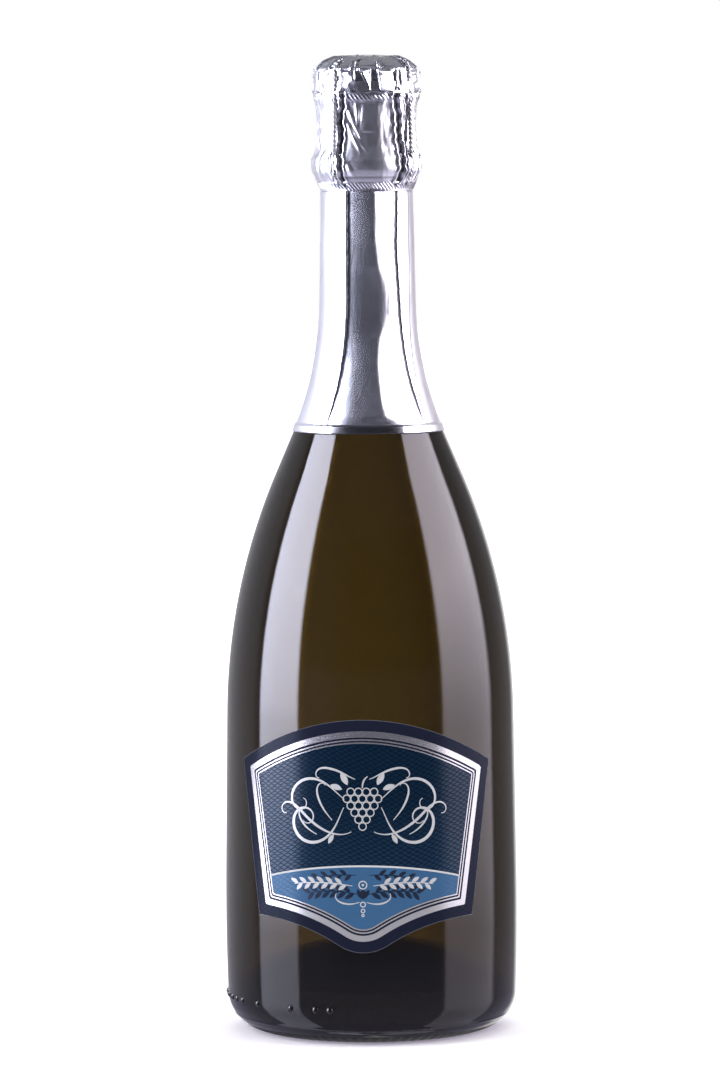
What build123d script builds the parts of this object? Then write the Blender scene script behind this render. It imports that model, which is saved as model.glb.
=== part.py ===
from build123d import *
from math import atan2, ceil, cos, degrees, hypot, pi, radians, sin, sqrt, tan
import os

# A sparkling wine bottle, filled, corked, wired and foiled. Lengths are millimetres and angles
# degrees. The bottle stands on z = 0, its axis is Z, and the middle of its label faces -Y.
# Azimuths are measured from -Y towards +X. A lean is the angle of the wall to the axis.

# Glass, outside
heel_curve = 11.9
heel_wall_radius = 45.3
heel_top_lean = 2.0
belly_radius = 45.72
belly_height = 50.0
shoulder_radius = 45.0
shoulder_height = 100.0
shoulder_curve = 196.0
cone_lean = 23.2
neck_curve = 102.0
neck_foot_radius = 14.9
neck_lean = 1.2
neck_length = 40.66

# Glass, inside and underneath
wall_thickness = 4.5
base_thickness = 8.5
punt_radius = 31.8
punt_height = 22.0
bore_radius = 9.0
bore_depth = 26.0
bore_flare = 5.0

# Glass, the finish round the mouth
lip_radius = 14.3
lip_height = 5.6
lip_edge = 1.6
mouth_edge = 0.7
wire_ring_radius = 16.3
wire_ring_height = 7.8
wire_ring_edge = 1.7
wire_ring_drop = 11.2
belt_groove_radius = 13.55
belt_groove_height = 3.5
belt_groove_edge = 0.5

# Row of small raised dots on the heel, their azimuths read round from the left
dot_radius = 1.0
dot_height_on_glass = 0.45
dot_lean = -3.0
dot_azimuths = (-86.6, -78.6, -71.6, -65.6, -60.1, -48.6, -30.6, -19.6, -13.6)

# Wine
fill_drop = 70.0
wine_gap = 0.05

# Front label, its outline given on the unrolled paper
label_thickness = 0.12
label_gap = 0.05
label_top = 101.4
label_shoulder_height = 87.3
label_shoulder_reach = 45.4
label_foot_height = 39.7
label_foot_reach = 36.5
label_tip = 29.6
label_tip_curve = 14.0
label_tip_lean = 33.0

# Foil
foil_thickness = 0.15
foil_gap = 0.1
skirt_drop = 98.4
tear_drop = 23.7
hem_height = 2.5
hem_stand = 0.25
pleat_azimuths = (-26.6, 58.4, 148.4, 241.4)
pleat_width = 4.8
pleat_tip_width = 0.6
pleat_thickness = 0.35
foil_clearance = 0.2
hood_ring_slack = 0.9
hood_waist_slack = 0.95
hood_head_slack = 1.45
hood_top_drop = 5.9
hood_fall = 1.3
hood_points_per_leg = 6
leg_lobe_shares = (1.0, 0.45, 0.0, 0.0, 0.0, 0.45)
loop_lobe_shares = (1.0, 0.95, 0.25)

# Foil disc on the crown, as shares of its height and of its radius at the brim
disc_drop = 9.6
crown_rise = 2.2
crown_height_shares = (0.0, 0.515, 0.65, 0.73, 0.805, 0.88, 0.955, 0.99, 1.0)
crown_radius_shares = (1.0, 0.99, 0.965, 0.91, 0.85, 0.755, 0.64, 0.48, 0.24)

# Cork
cork_clearance = 0.08
cork_depth = 24.0
cork_disc_thickness = 5.5
cork_head_height = 16.2
cork_head_radius = 15.0
cork_head_edge = 3.0
cork_neck_radius = 12.0
cork_neck_rise = 5.0
cork_chamfer = 0.6

# Metal cap on the cork
cap_thickness = 0.25
cap_dome_radius = 10.2
cap_dome_rise = 0.55
cap_edge = 2.8
cap_side_gap = 0.25
cap_rim_drop = 3.4

# Wire cage
frame_wire = 0.7
belt_wire = 0.9
wire_gap = 0.05
frame_ring_radius = 12.0
twist_pitch = 6.0
twist_steps = 6
wire_sides = 6
first_leg_azimuth = -33.0
leg_count = 4
belt_drop = 20.9
eye_radius = 0.85
leg_tuck_angle = 58.0
waist_share = 0.6
lobe_angles = (-50.0, 50.0)

# Pull loop, folded up against the neck
loop_azimuth = 192.0
loop_shank = 4.6
loop_width = 7.0
loop_length = 9.0
loop_ring_gap = 0.15
loop_bend_length = 2.0

# Where the arcs and straight stretches of the glass wall meet, from the shoulder up
taper_lean = degrees(atan2(belly_radius - shoulder_radius, shoulder_height - belly_height))
shoulder_arc_radius = shoulder_radius - shoulder_curve * cos(radians(taper_lean))
shoulder_arc_height = shoulder_height - shoulder_curve * sin(radians(taper_lean))
cone_low_radius = shoulder_arc_radius + shoulder_curve * cos(radians(cone_lean))
cone_low_height = shoulder_arc_height + shoulder_curve * sin(radians(cone_lean))
neck_arc_radius = neck_foot_radius + neck_curve * cos(radians(neck_lean))
cone_high_radius = neck_arc_radius - neck_curve * cos(radians(cone_lean))
cone_high_height = cone_low_height + (cone_low_radius - cone_high_radius) / tan(radians(cone_lean))
neck_arc_height = cone_high_height + neck_curve * sin(radians(cone_lean))
neck_foot_height = neck_arc_height - neck_curve * sin(radians(neck_lean))

# Heights that several pieces share, measured up from the base
wire_ring_bottom = neck_foot_height + neck_length
wire_ring_top = wire_ring_bottom + wire_ring_height
bottle_height = wire_ring_top + wire_ring_drop
belt_height = bottle_height - belt_drop
tear_height = bottle_height - tear_drop
skirt_bottom = bottle_height - skirt_drop
bore_bottom = bottle_height - bore_depth
fill_height = bottle_height - fill_drop
cork_bottom = bottle_height - cork_depth
cork_top = bottle_height + cork_head_height
cap_top = cork_top + cap_thickness
cap_edge_radius = cork_head_radius + cap_side_gap - cap_edge
cap_edge_height = cork_top - cap_edge

# Radii and places of the wires, set out from what they lie on
belt_radius = belt_groove_radius + 2 * wire_gap + frame_wire + belt_wire / 2
leg_at_ring = wire_ring_radius + wire_gap + frame_wire
leg_round_cap = cap_edge + cap_thickness + wire_gap + frame_wire
frame_ring_height = cap_top + frame_wire / 2
loop_radius = wire_ring_radius + loop_ring_gap + belt_wire
loop_top = belt_height + loop_shank + loop_length - belt_wire / 2
foil_cover = foil_clearance + foil_thickness
foil_step = foil_gap + foil_thickness
hood_top = cork_top - hood_top_drop
disc_bottom = cork_top - disc_drop
crown_top = cap_top + crown_rise


def rz(radius, height):
    """A point of the half plane in which every turned outline is drawn."""
    return (radius, 0, height)


def around(shape, azimuth):
    """Turn a shape drawn towards +X to an azimuth measured from -Y."""
    return shape.rotate(Axis.Z, azimuth - 90)


def turned(edges):
    """A solid turned about the bottle's axis from the edges of its half outline."""
    return revolve(make_face(Wire.combine(edges)[0]), Axis.Z, 360)


def off_wall(radius, height, lean, offset):
    """A point of the glass wall moved out, square to the wall."""
    return rz(radius + offset * cos(radians(lean)), height + offset * sin(radians(lean)))


def bulging(centre_radius, centre_height, curve, lean, offset=0.0):
    """A point of an arc whose centre lies inside the wall."""
    reach = curve + offset
    return rz(centre_radius + reach * cos(radians(lean)), centre_height + reach * sin(radians(lean)))


def hollow(centre_radius, centre_height, curve, lean, offset=0.0):
    """A point of an arc whose centre lies outside the wall."""
    reach = curve - offset
    return rz(centre_radius - reach * cos(radians(lean)), centre_height - reach * sin(radians(lean)))


def wall_solid(offset):
    """The bottle's outer form from heel to neck, moved out or in by an offset, as one solid."""
    heel_centre = heel_wall_radius - heel_curve
    heel_low = bulging(heel_centre, heel_curve, heel_curve, -90, offset)
    heel_mid = bulging(heel_centre, heel_curve, heel_curve, -45, offset)
    heel_top = bulging(heel_centre, heel_curve, heel_curve, -heel_top_lean, offset)
    belly = off_wall(belly_radius, belly_height, taper_lean, offset)
    shoulder = off_wall(shoulder_radius, shoulder_height, taper_lean, offset)

    shoulder_arc = (shoulder_arc_radius, shoulder_arc_height, shoulder_curve)
    neck_arc = (neck_arc_radius, neck_arc_height, neck_curve)
    shoulder_mid = bulging(*shoulder_arc, (taper_lean + cone_lean) / 2, offset)
    cone_low = bulging(*shoulder_arc, cone_lean, offset)
    cone_high = hollow(*neck_arc, cone_lean, offset)
    neck_mid = hollow(*neck_arc, (cone_lean + neck_lean) / 2, offset)
    neck_foot = hollow(*neck_arc, neck_lean, offset)
    top_radius = neck_foot[0] - (wire_ring_bottom - neck_foot[2]) * tan(radians(neck_lean))

    heel_tangent = (sin(radians(heel_top_lean)), 0, cos(radians(heel_top_lean)))
    return turned([
        Line(rz(0, heel_low[2]), heel_low),
        ThreePointArc(heel_low, heel_mid, heel_top),
        TangentArc(heel_top, belly, tangent=heel_tangent),
        Line(belly, shoulder),
        ThreePointArc(shoulder, shoulder_mid, cone_low),
        Line(cone_low, cone_high),
        ThreePointArc(cone_high, neck_mid, neck_foot),
        Line(neck_foot, rz(top_radius, wire_ring_bottom)),
        Line(rz(top_radius, wire_ring_bottom), rz(0, wire_ring_bottom)),
        Line(rz(0, wire_ring_bottom), rz(0, heel_low[2])),
    ])


def neck_radius_at(height):
    """Radius of the neck's straight stretch at a height."""
    return neck_foot_radius - (height - neck_foot_height) * tan(radians(neck_lean))


def band(low, high, radius):
    """A solid disc between two heights."""
    return Pos(0, 0, (low + high) / 2) * Cylinder(radius, high - low)


def ring_with_round_edges(inner, outer, low, high, edge):
    """Outline of a glass bead: flat inside, with round outer corners of one radius."""
    turn = edge * (1 - sqrt(1 / 2))
    return turned([
        Line(rz(inner, low), rz(outer - edge, low)),
        ThreePointArc(rz(outer - edge, low), rz(outer - turn, low + turn), rz(outer, low + edge)),
        Line(rz(outer, low + edge), rz(outer, high - edge)),
        ThreePointArc(rz(outer, high - edge), rz(outer - turn, high - turn), rz(outer - edge, high)),
        Line(rz(outer - edge, high), rz(inner, high)),
        Line(rz(inner, high), rz(inner, low)),
    ])


def belt_groove():
    """The relief under the wire ring that the cage's belt lies in."""
    low = wire_ring_bottom - belt_groove_height
    outside = lip_radius + wire_ring_edge
    return turned([
        Line(rz(belt_groove_radius, low + belt_groove_edge), rz(outside, low)),
        Line(rz(outside, low), rz(outside, wire_ring_bottom)),
        Line(rz(outside, wire_ring_bottom), rz(belt_groove_radius, wire_ring_bottom)),
        Line(rz(belt_groove_radius, wire_ring_bottom), rz(belt_groove_radius, low + belt_groove_edge)),
    ])


def punt_curve():
    """Radius of the sphere that hollows the base."""
    return (punt_radius ** 2 + punt_height ** 2) / (2 * punt_height)


def punt_ball(offset):
    """The sphere of the punt, larger by an offset."""
    return Pos(0, 0, punt_height - punt_curve()) * Sphere(punt_curve() + offset)


def cavity(gap):
    """The space inside the glass below the bore, smaller by a gap on every side."""
    inset = wall_thickness + gap
    flare_low = bore_bottom - bore_flare
    inner_neck = neck_radius_at(flare_low) - inset
    form = wall_solid(-inset) & band(0, flare_low, shoulder_curve)
    flare = Pos(0, 0, flare_low + bore_flare / 2) * Cone(inner_neck, bore_radius - gap, bore_flare)
    return form + flare - punt_ball(base_thickness + gap)


def mouth_cut():
    """The bore with the rounded edge that leads into it."""
    turn = mouth_edge * (1 - sqrt(1 / 2))
    return turned([
        Line(rz(0, bore_bottom), rz(bore_radius, bore_bottom)),
        Line(rz(bore_radius, bore_bottom), rz(bore_radius, bottle_height - mouth_edge)),
        ThreePointArc(
            rz(bore_radius, bottle_height - mouth_edge),
            rz(bore_radius + turn, bottle_height - turn),
            rz(bore_radius + mouth_edge, bottle_height),
        ),
        Line(rz(bore_radius + mouth_edge, bottle_height), rz(bore_radius + mouth_edge, cork_top)),
        Line(rz(bore_radius + mouth_edge, cork_top), rz(0, cork_top)),
        Line(rz(0, cork_top), rz(0, bore_bottom)),
    ])


def heel_dots():
    """Small round lenses standing on the heel, one for each azimuth."""
    centre = bulging(
        heel_wall_radius - heel_curve, heel_curve, heel_curve, dot_lean, dot_height_on_glass - dot_radius
    )
    return [around(Pos(*centre) * Sphere(dot_radius), azimuth) for azimuth in dot_azimuths]


def glass_bottle():
    glass = wall_solid(0) - belt_groove()
    glass += band(wire_ring_bottom - belt_groove_height, bottle_height - lip_edge, belt_groove_radius)
    glass += ring_with_round_edges(
        bore_radius, wire_ring_radius, wire_ring_bottom, wire_ring_top, wire_ring_edge
    )
    glass += ring_with_round_edges(
        bore_radius, lip_radius, bottle_height - lip_height, bottle_height, lip_edge
    )
    glass += heel_dots()
    return glass - punt_ball(0) - cavity(0) - mouth_cut()


def sparkling_wine():
    return cavity(wine_gap) & band(0, fill_height, shoulder_curve)


def wrapped(reach):
    """Sideways place of a point that lies a given way round the belly from the front."""
    return belly_radius * sin(reach / belly_radius)


def label_outline():
    """The label seen from the front: arched top, tapering sides, and a foot drawn to a round tip."""
    side = wrapped(label_shoulder_reach)
    foot = wrapped(label_foot_reach)
    tip_side = label_tip_curve * sin(radians(label_tip_lean))
    tip_high = label_tip + label_tip_curve * (1 - cos(radians(label_tip_lean)))
    leaving = (cos(radians(label_tip_lean)), 0, sin(radians(label_tip_lean)))
    right_shoulder = (side, 0, label_shoulder_height)
    left_shoulder = (-side, 0, label_shoulder_height)
    right_foot = (foot, 0, label_foot_height)
    left_foot = (-foot, 0, label_foot_height)
    right_tip = (tip_side, 0, tip_high)
    left_tip = (-tip_side, 0, tip_high)
    return make_face(Wire.combine([
        ThreePointArc(left_shoulder, (0, 0, label_top), right_shoulder),
        Line(right_shoulder, right_foot),
        TangentArc(right_tip, right_foot, tangent=leaving),
        ThreePointArc(left_tip, (0, 0, label_tip), right_tip),
        TangentArc(left_tip, left_foot, tangent=(-leaving[0], 0, leaving[2])),
        Line(left_foot, left_shoulder),
    ])[0])


def skin(inner, outer):
    """A thin coat that follows the glass between two offsets."""
    return wall_solid(outer) - wall_solid(inner)


def front_label():
    front = extrude(label_outline(), amount=2 * belly_radius, dir=(0, -1, 0))
    return skin(label_gap, label_gap + label_thickness) & front


def pleat(azimuth):
    """A folded flap of foil, widest at the tear line and running out towards the hem."""
    half = pleat_width / 2
    tip = pleat_tip_width / 2
    low = skirt_bottom + hem_height / 2
    flap = Polygon((-half, tear_height), (half, tear_height), (tip, low), (-tip, low), align=None)
    prism = extrude(Plane.XZ * flap, amount=2 * belly_radius, dir=(0, -1, 0))
    coat = skin(foil_gap + foil_thickness / 2, foil_gap + foil_thickness + pleat_thickness)
    return (coat & prism).rotate(Axis.Z, azimuth)


def foil_skirt():
    reach = 2 * belly_radius
    skirt = skin(foil_gap, foil_gap + foil_thickness) & band(skirt_bottom, tear_height, reach)
    hem = skin(foil_gap + foil_thickness / 2, foil_gap + foil_thickness + hem_stand)
    skirt += hem & band(skirt_bottom, skirt_bottom + hem_height, reach)
    for azimuth in pleat_azimuths:
        skirt += pleat(azimuth)
    return skirt


def cork_body():
    """Agglomerated cork: the pressed shank above its two discs and the mushroom head."""
    shank = bore_radius - cork_clearance
    low = cork_bottom + 2 * cork_disc_thickness
    side = cork_head_radius
    edge = cork_head_edge
    turn = edge * (1 - sqrt(1 / 2))
    return turned([
        Line(rz(0, low), rz(shank, low)),
        Line(rz(shank, low), rz(shank, bottle_height)),
        Line(rz(shank, bottle_height), rz(cork_neck_radius, bottle_height)),
        TangentArc(
            rz(side, bottle_height + cork_neck_rise),
            rz(cork_neck_radius, bottle_height),
            tangent=(0, 0, -1),
        ),
        Line(rz(side, bottle_height + cork_neck_rise), rz(side, cork_top - edge)),
        ThreePointArc(rz(side, cork_top - edge), rz(side - turn, cork_top - turn), rz(side - edge, cork_top)),
        Line(rz(side - edge, cork_top), rz(0, cork_top)),
        Line(rz(0, cork_top), rz(0, low)),
    ])


def cork_disc(low, chamfer_below):
    """A disc of natural cork, glued under the body. The lowest one has a worn lower edge."""
    disc = band(low, low + cork_disc_thickness, bore_radius - cork_clearance)
    if chamfer_below:
        return chamfer(disc.edges().group_by(Axis.Z)[0], cork_chamfer)
    return disc


def cap_plaque():
    """Thin metal cap: a shallow dome, a flat seat for the wire, and a turned-down rim."""
    outer = cap_edge + cap_thickness
    rim = cap_edge_height + cap_edge - cap_rim_drop
    inside = [(0, cork_top + cap_dome_rise), (cap_dome_radius, cork_top), (cap_edge_radius, cork_top)]
    mid_in = (cap_edge_radius + cap_edge * sqrt(1 / 2), cap_edge_height + cap_edge * sqrt(1 / 2))
    mid_out = (cap_edge_radius + outer * sqrt(1 / 2), cap_edge_height + outer * sqrt(1 / 2))
    dome = (cap_dome_radius ** 2 + cap_dome_rise ** 2) / (2 * cap_dome_rise)
    rise = cap_dome_rise - dome + sqrt(dome ** 2 - (cap_dome_radius / 2) ** 2)
    return turned([
        ThreePointArc(rz(*inside[0]), rz(cap_dome_radius / 2, cork_top + rise), rz(*inside[1])),
        Line(rz(*inside[1]), rz(*inside[2])),
        ThreePointArc(rz(*inside[2]), rz(*mid_in), rz(cap_edge_radius + cap_edge, cap_edge_height)),
        Line(rz(cap_edge_radius + cap_edge, cap_edge_height), rz(cap_edge_radius + cap_edge, rim)),
        Line(rz(cap_edge_radius + cap_edge, rim), rz(cap_edge_radius + outer, rim)),
        Line(rz(cap_edge_radius + outer, rim), rz(cap_edge_radius + outer, cap_edge_height)),
        ThreePointArc(rz(cap_edge_radius + outer, cap_edge_height), rz(*mid_out), rz(cap_edge_radius, cap_top)),
        Line(rz(cap_edge_radius, cap_top), rz(cap_dome_radius, cap_top)),
        ThreePointArc(
            rz(cap_dome_radius, cap_top),
            rz(cap_dome_radius / 2, cap_top + rise),
            rz(0, cap_top + cap_dome_rise),
        ),
        Line(rz(0, cap_top + cap_dome_rise), rz(*inside[0])),
    ])


def leg_path():
    """Stretches of a leg's centreline, from the frame ring over the cap and down to the eye."""
    tuck = radians(leg_tuck_angle)
    under_radius = wire_ring_radius - wire_ring_edge
    under_height = wire_ring_bottom + wire_ring_edge
    round_ring = leg_at_ring - under_radius
    arrive = (under_radius + round_ring * cos(tuck), under_height - round_ring * sin(tuck))
    away = hypot(belt_radius - arrive[0], belt_height - arrive[1])
    near = (away - eye_radius) / away
    eye_side = (
        arrive[0] + near * (belt_radius - arrive[0]),
        arrive[1] + near * (belt_height - arrive[1]),
    )
    cap_side = cap_edge_radius + leg_round_cap
    return [
        ("line", (frame_ring_radius, cap_edge_height + leg_round_cap),
         (cap_edge_radius, cap_edge_height + leg_round_cap)),
        ("arc", (cap_edge_radius, cap_edge_height), leg_round_cap, pi / 2, 0.0),
        ("line", (cap_side, cap_edge_height), (leg_at_ring, wire_ring_top)),
        ("line", (leg_at_ring, wire_ring_top), (leg_at_ring, under_height)),
        ("arc", (under_radius, under_height), round_ring, 0.0, -tuck),
        ("line", arrive, eye_side),
    ]


def stretch_length(stretch):
    if stretch[0] == "line":
        return hypot(stretch[2][0] - stretch[1][0], stretch[2][1] - stretch[1][1])
    return stretch[2] * abs(stretch[4] - stretch[3])


def along(path, distance):
    """Place and direction, in radius and height, at a distance along a leg's centreline."""
    for number, stretch in enumerate(path):
        length = stretch_length(stretch)
        if distance <= length or number == len(path) - 1:
            break
        distance -= length
    share = min(distance / length, 1.0)
    if stretch[0] == "line":
        start, end = stretch[1], stretch[2]
        place = (start[0] + share * (end[0] - start[0]), start[1] + share * (end[1] - start[1]))
        return place, ((end[0] - start[0]) / length, (end[1] - start[1]) / length)
    angle = stretch[3] + share * (stretch[4] - stretch[3])
    place = (stretch[1][0] + stretch[2] * cos(angle), stretch[1][1] + stretch[2] * sin(angle))
    return place, (sin(angle), -cos(angle))


def pair_section(place, direction, twist, wire):
    """Cross-section of two wires lying side by side, turned by the twist, square to the path."""
    radius = wire / 2
    points = [(radius + radius * cos(radians(a)), radius * sin(radians(a))) for a in lobe_angles]
    points.append((0, radius * waist_share))
    points += [(-radius - radius * cos(radians(a)), -radius * sin(radians(a))) for a in lobe_angles]
    points.append((0, -radius * waist_share))
    corners = []
    for across, aside in points:
        sideways = across * cos(twist) - aside * sin(twist)
        square = across * sin(twist) + aside * cos(twist)
        corners.append((place[0] + square * direction[1], sideways, place[1] - square * direction[0]))
    return corners


def flat_sided(sections):
    """A solid with flat triangular sides between sections that have as many corners each."""
    sides = []
    for near, far in zip(sections, sections[1:]):
        for number, corner in enumerate(near):
            before = near[number - 1]
            sides.append((before, corner, far[number]))
            sides.append((before, far[number], far[number - 1]))
    faces = [Face(Wire.make_polygon(side, close=True)) for side in sides]
    faces += [Face(Wire.make_polygon(end, close=True)) for end in (sections[0], sections[-1])]
    return Solid(Shell(faces))


def wire_round(centre, place, wire):
    """A closed wire with flat sides, turned round an axis parallel to Z through a centre."""
    section = Plane.XZ * Pos(place, 0) * RegularPolygon(wire / 2, wire_sides)
    return Pos(0, 0, centre) * revolve(section, Axis.Z, 360)


def twisted_leg():
    """Two wires twisted together along the leg's centreline, with flat facets."""
    path = leg_path()
    length = sum(stretch_length(stretch) for stretch in path)
    turns = round(length / twist_pitch * 2) / 2
    steps = ceil(turns * twist_steps)
    sections = []
    for step in range(steps + 1):
        place, direction = along(path, length * step / steps)
        sections.append(pair_section(place, direction, 2 * pi * turns * step / steps, frame_wire))
    return flat_sided(sections)


def leg_eye():
    """The eye at the foot of a leg, through which the belt passes."""
    return Pos(belt_radius, 0, belt_height) * Rot(90, 0, 0) * wire_round(0, eye_radius, frame_wire)


def cage_frame():
    """The upper wire: a ring on the cap and four twisted legs, each ending in an eye."""
    frame = wire_round(frame_ring_height, frame_ring_radius, frame_wire)
    leg = twisted_leg() + leg_eye()
    for number in range(leg_count):
        frame += around(leg, first_leg_azimuth + number * 360 / leg_count)
    return frame


def cage_belt():
    """The lower wire: a ring under the glass bead, its two ends led out to the pull loop."""
    belt = wire_round(belt_height, belt_radius, belt_wire)
    reach = loop_radius - belt_wire - wire_gap - belt_radius
    for side in (-1, 1):
        place = Pos(belt_radius + reach / 2, side * (belt_wire / 2 + wire_gap), belt_height)
        belt += around(place * Rot(0, 90, 0) * Cylinder(belt_wire / 2, reach), loop_azimuth)
    return belt


def cage_pull_loop():
    """A twisted shank with an oval ring, folded up along the neck from its bend."""
    steps = twist_steps
    shank = []
    for step in range(steps + 1):
        height = belt_height + loop_shank * step / steps
        shank.append(pair_section((loop_radius, height), (0, 1), pi / 2 + pi * step / steps, belt_wire))
    centre = belt_height + loop_shank + (loop_length - belt_wire) / 2
    apart = loop_length - loop_width
    slot = SlotCenterToCenter(apart, loop_width - belt_wire, rotation=90)
    path = (Plane.YZ.offset(loop_radius) * Pos(0, centre) * slot).face().outer_wire()
    start = Plane(path @ 0, z_dir=path % 0)
    ring = sweep(start * RegularPolygon(belt_wire / 2, wire_sides), path)
    bend = Pos(loop_radius, 0, belt_height) * Rot(90, 0, 0) * Cylinder(belt_wire, loop_bend_length)
    return around(bend + flat_sided(shank) + ring, loop_azimuth)


def leg_cover(height):
    """Radius of the foil's outside where it lies over a leg of the cage."""
    cap_side = cap_edge_radius + leg_round_cap
    share = (height - wire_ring_top) / (cap_edge_height - wire_ring_top)
    leg = leg_at_ring + min(max(share, 0), 1) * (cap_side - leg_at_ring)
    return leg + frame_wire + foil_cover


def foil_section(height, plain, over_leg, over_loop, inset):
    """Closed outline of the foil at a height: plain between the legs, and proud over leg and loop."""
    count = leg_count * hood_points_per_leg
    step = 360 / count
    loop_number = round((loop_azimuth - first_leg_azimuth) / step)
    points = []
    for number in range(count):
        leg_share = leg_lobe_shares[number % hood_points_per_leg]
        away = abs((number - loop_number + count / 2) % count - count / 2)
        loop_share = loop_lobe_shares[int(away)] if away < len(loop_lobe_shares) else 0
        radius = plain - inset + max(leg_share * (over_leg - plain), loop_share * (over_loop - plain))
        angle = radians(first_leg_azimuth + number * step - 90)
        points.append((radius * cos(angle), radius * sin(angle), height))
    return make_face(Spline(*points, periodic=True))


def foil_shell(rows, closed_top):
    """A thin shell through sections given as height, plain radius, and radii over leg and loop."""
    outside = loft([foil_section(*row, 0) for row in rows], ruled=True)
    inner_rows = list(rows)
    if closed_top:
        inner_rows = [(rows[0][0], *rows[0][1:])]
        inner_rows += [(row[0] - foil_thickness, *row[1:]) for row in rows[1:]]
    inside = loft([foil_section(*row, foil_thickness) for row in inner_rows], ruled=True)
    return outside - inside


def foil_hood():
    """Foil over the cage, from the tear line up to under the disc."""
    neck = neck_radius_at(tear_height) + foil_step
    belt = belt_radius + belt_wire / 2 + foil_cover
    eye = belt_radius + eye_radius + frame_wire / 2 + foil_cover
    loop = loop_radius + belt_wire + foil_cover
    ring = wire_ring_radius + hood_ring_slack
    waist = lip_radius + hood_waist_slack
    head = cork_head_radius + hood_head_slack
    below_eye = belt_height - eye_radius - frame_wire / 2 - foil_clearance
    over_ring = leg_cover(wire_ring_top)
    fall = wire_ring_top + hood_fall
    loop_end = loop_top + foil_cover
    loop_gone = loop_end + belt_wire + foil_cover
    brim = bottle_height + cork_neck_rise
    return foil_shell([
        (tear_height, neck, neck, neck),
        (below_eye, belt, eye, loop),
        (belt_height, belt, eye, loop),
        (wire_ring_bottom + wire_ring_edge / 2, ring, over_ring, loop),
        (wire_ring_top - wire_ring_edge, ring, over_ring, loop),
        (fall, waist, leg_cover(fall), loop),
        (loop_end, waist, leg_cover(loop_end), loop),
        (loop_gone, waist, leg_cover(loop_gone), waist),
        (bottle_height, waist, leg_cover(bottle_height), waist),
        (brim, head, leg_cover(brim), head),
        (hood_top, head - foil_gap, leg_cover(hood_top), head - foil_gap),
    ], False)


def foil_top_disc():
    """Foil disc pressed over the crown, its skirt lying over the top of the hood."""
    brim = cork_head_radius + hood_head_slack + foil_step
    reach = leg_round_cap + frame_wire + foil_cover + foil_step
    rows = []
    for height_share, radius_share in zip(crown_height_shares, crown_radius_shares):
        height = disc_bottom + height_share * (crown_top - disc_bottom)
        plain = brim * radius_share
        over_cap = max(height - cap_edge_height, 0)
        leg = leg_cover(height) + foil_step
        if over_cap > 0:
            leg = cap_edge_radius + sqrt(max(reach ** 2 - over_cap ** 2, 0))
        if over_cap >= reach:
            leg = plain
        rows.append((height, plain, max(leg, plain), plain))
    return foil_shell(rows, True)


PARTS = {
    "glass_bottle": glass_bottle,
    "sparkling_wine": sparkling_wine,
    "front_label": front_label,
    "foil_skirt": foil_skirt,
    "cork_body": cork_body,
    "cork_disc_upper": lambda: cork_disc(cork_bottom + cork_disc_thickness, False),
    "cork_disc_lower": lambda: cork_disc(cork_bottom, True),
    "cap_plaque": cap_plaque,
    "cage_frame": cage_frame,
    "cage_belt": cage_belt,
    "cage_pull_loop": cage_pull_loop,
    "foil_hood": foil_hood,
    "foil_top_disc": foil_top_disc,
}

os.makedirs("parts", exist_ok=True)
for name, make in PARTS.items():
    export_step(make(), f"parts/{name}.step")
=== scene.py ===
from math import asin, atan2, ceil, cos, degrees, hypot, pi, radians, sin, tan

import bpy
import numpy as np
from mathutils import Matrix, Vector, noise
from mathutils.geometry import delaunay_2d_cdt


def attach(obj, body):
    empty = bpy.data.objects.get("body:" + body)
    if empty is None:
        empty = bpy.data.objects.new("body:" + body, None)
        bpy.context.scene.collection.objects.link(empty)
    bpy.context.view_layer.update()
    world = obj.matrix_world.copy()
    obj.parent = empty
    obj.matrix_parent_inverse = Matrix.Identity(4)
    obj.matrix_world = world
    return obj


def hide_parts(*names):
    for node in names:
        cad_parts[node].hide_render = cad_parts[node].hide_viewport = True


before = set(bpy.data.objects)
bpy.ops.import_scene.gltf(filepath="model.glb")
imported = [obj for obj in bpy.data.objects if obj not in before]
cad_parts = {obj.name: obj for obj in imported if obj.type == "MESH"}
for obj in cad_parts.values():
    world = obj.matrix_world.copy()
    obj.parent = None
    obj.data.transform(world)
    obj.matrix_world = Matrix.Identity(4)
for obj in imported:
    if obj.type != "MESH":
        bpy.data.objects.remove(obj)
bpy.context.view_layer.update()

# The filled, corked, wired and foiled bottle of the frame, dressed for its photograph. Lengths
# are millimetres unless a name says otherwise, and they become metres where a mesh is made.
# The bottle's axis is Z and the middle of its label faces -Y. Azimuths are degrees from -Y
# towards +X. A lean is the angle of the wall to the axis. The camera stands a little to the
# right of the label's middle, and folds of the foil are placed by their azimuth from the camera.

MM = 0.001

# Camera, fitted to the photograph
focal_px = 5736.0
photo_long_side_px = 1080.0
camera_distance = 1792.0
camera_height = 286.8
camera_pitch = 4.26
camera_aside = -2.9
camera_roll = -0.38
view_turn = 3.4

# Glass, outside, as the frame has it
heel_curve = 11.9
heel_wall_radius = 45.3
heel_top_lean = 2.0
belly_radius = 45.72
belly_height = 50.0
shoulder_radius = 45.0
shoulder_height = 100.0
shoulder_curve = 196.0
cone_lean = 23.2
neck_curve = 102.0
neck_foot_radius = 14.9
neck_lean = 1.2
neck_length = 40.66

# Glass, inside, underneath and at the mouth
wall_thickness = 4.5
base_thickness = 8.5
punt_radius = 31.8
punt_height = 22.0
punt_edge_turn = 1.2
bearing_lip = 0.25
bearing_lip_height = 0.08
bearing_round = 0.7
bearing_width = 1.8
bore_radius = 9.0
bore_depth = 26.0
bore_flare = 5.0
lip_radius = 14.3
lip_height = 5.6
lip_edge = 1.6
mouth_edge = 0.7
wire_ring_radius = 16.3
wire_ring_height = 7.8
wire_ring_edge = 1.7
wire_ring_drop = 11.2
belt_groove_radius = 13.55
belt_groove_height = 3.5
belt_groove_edge = 0.5

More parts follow.
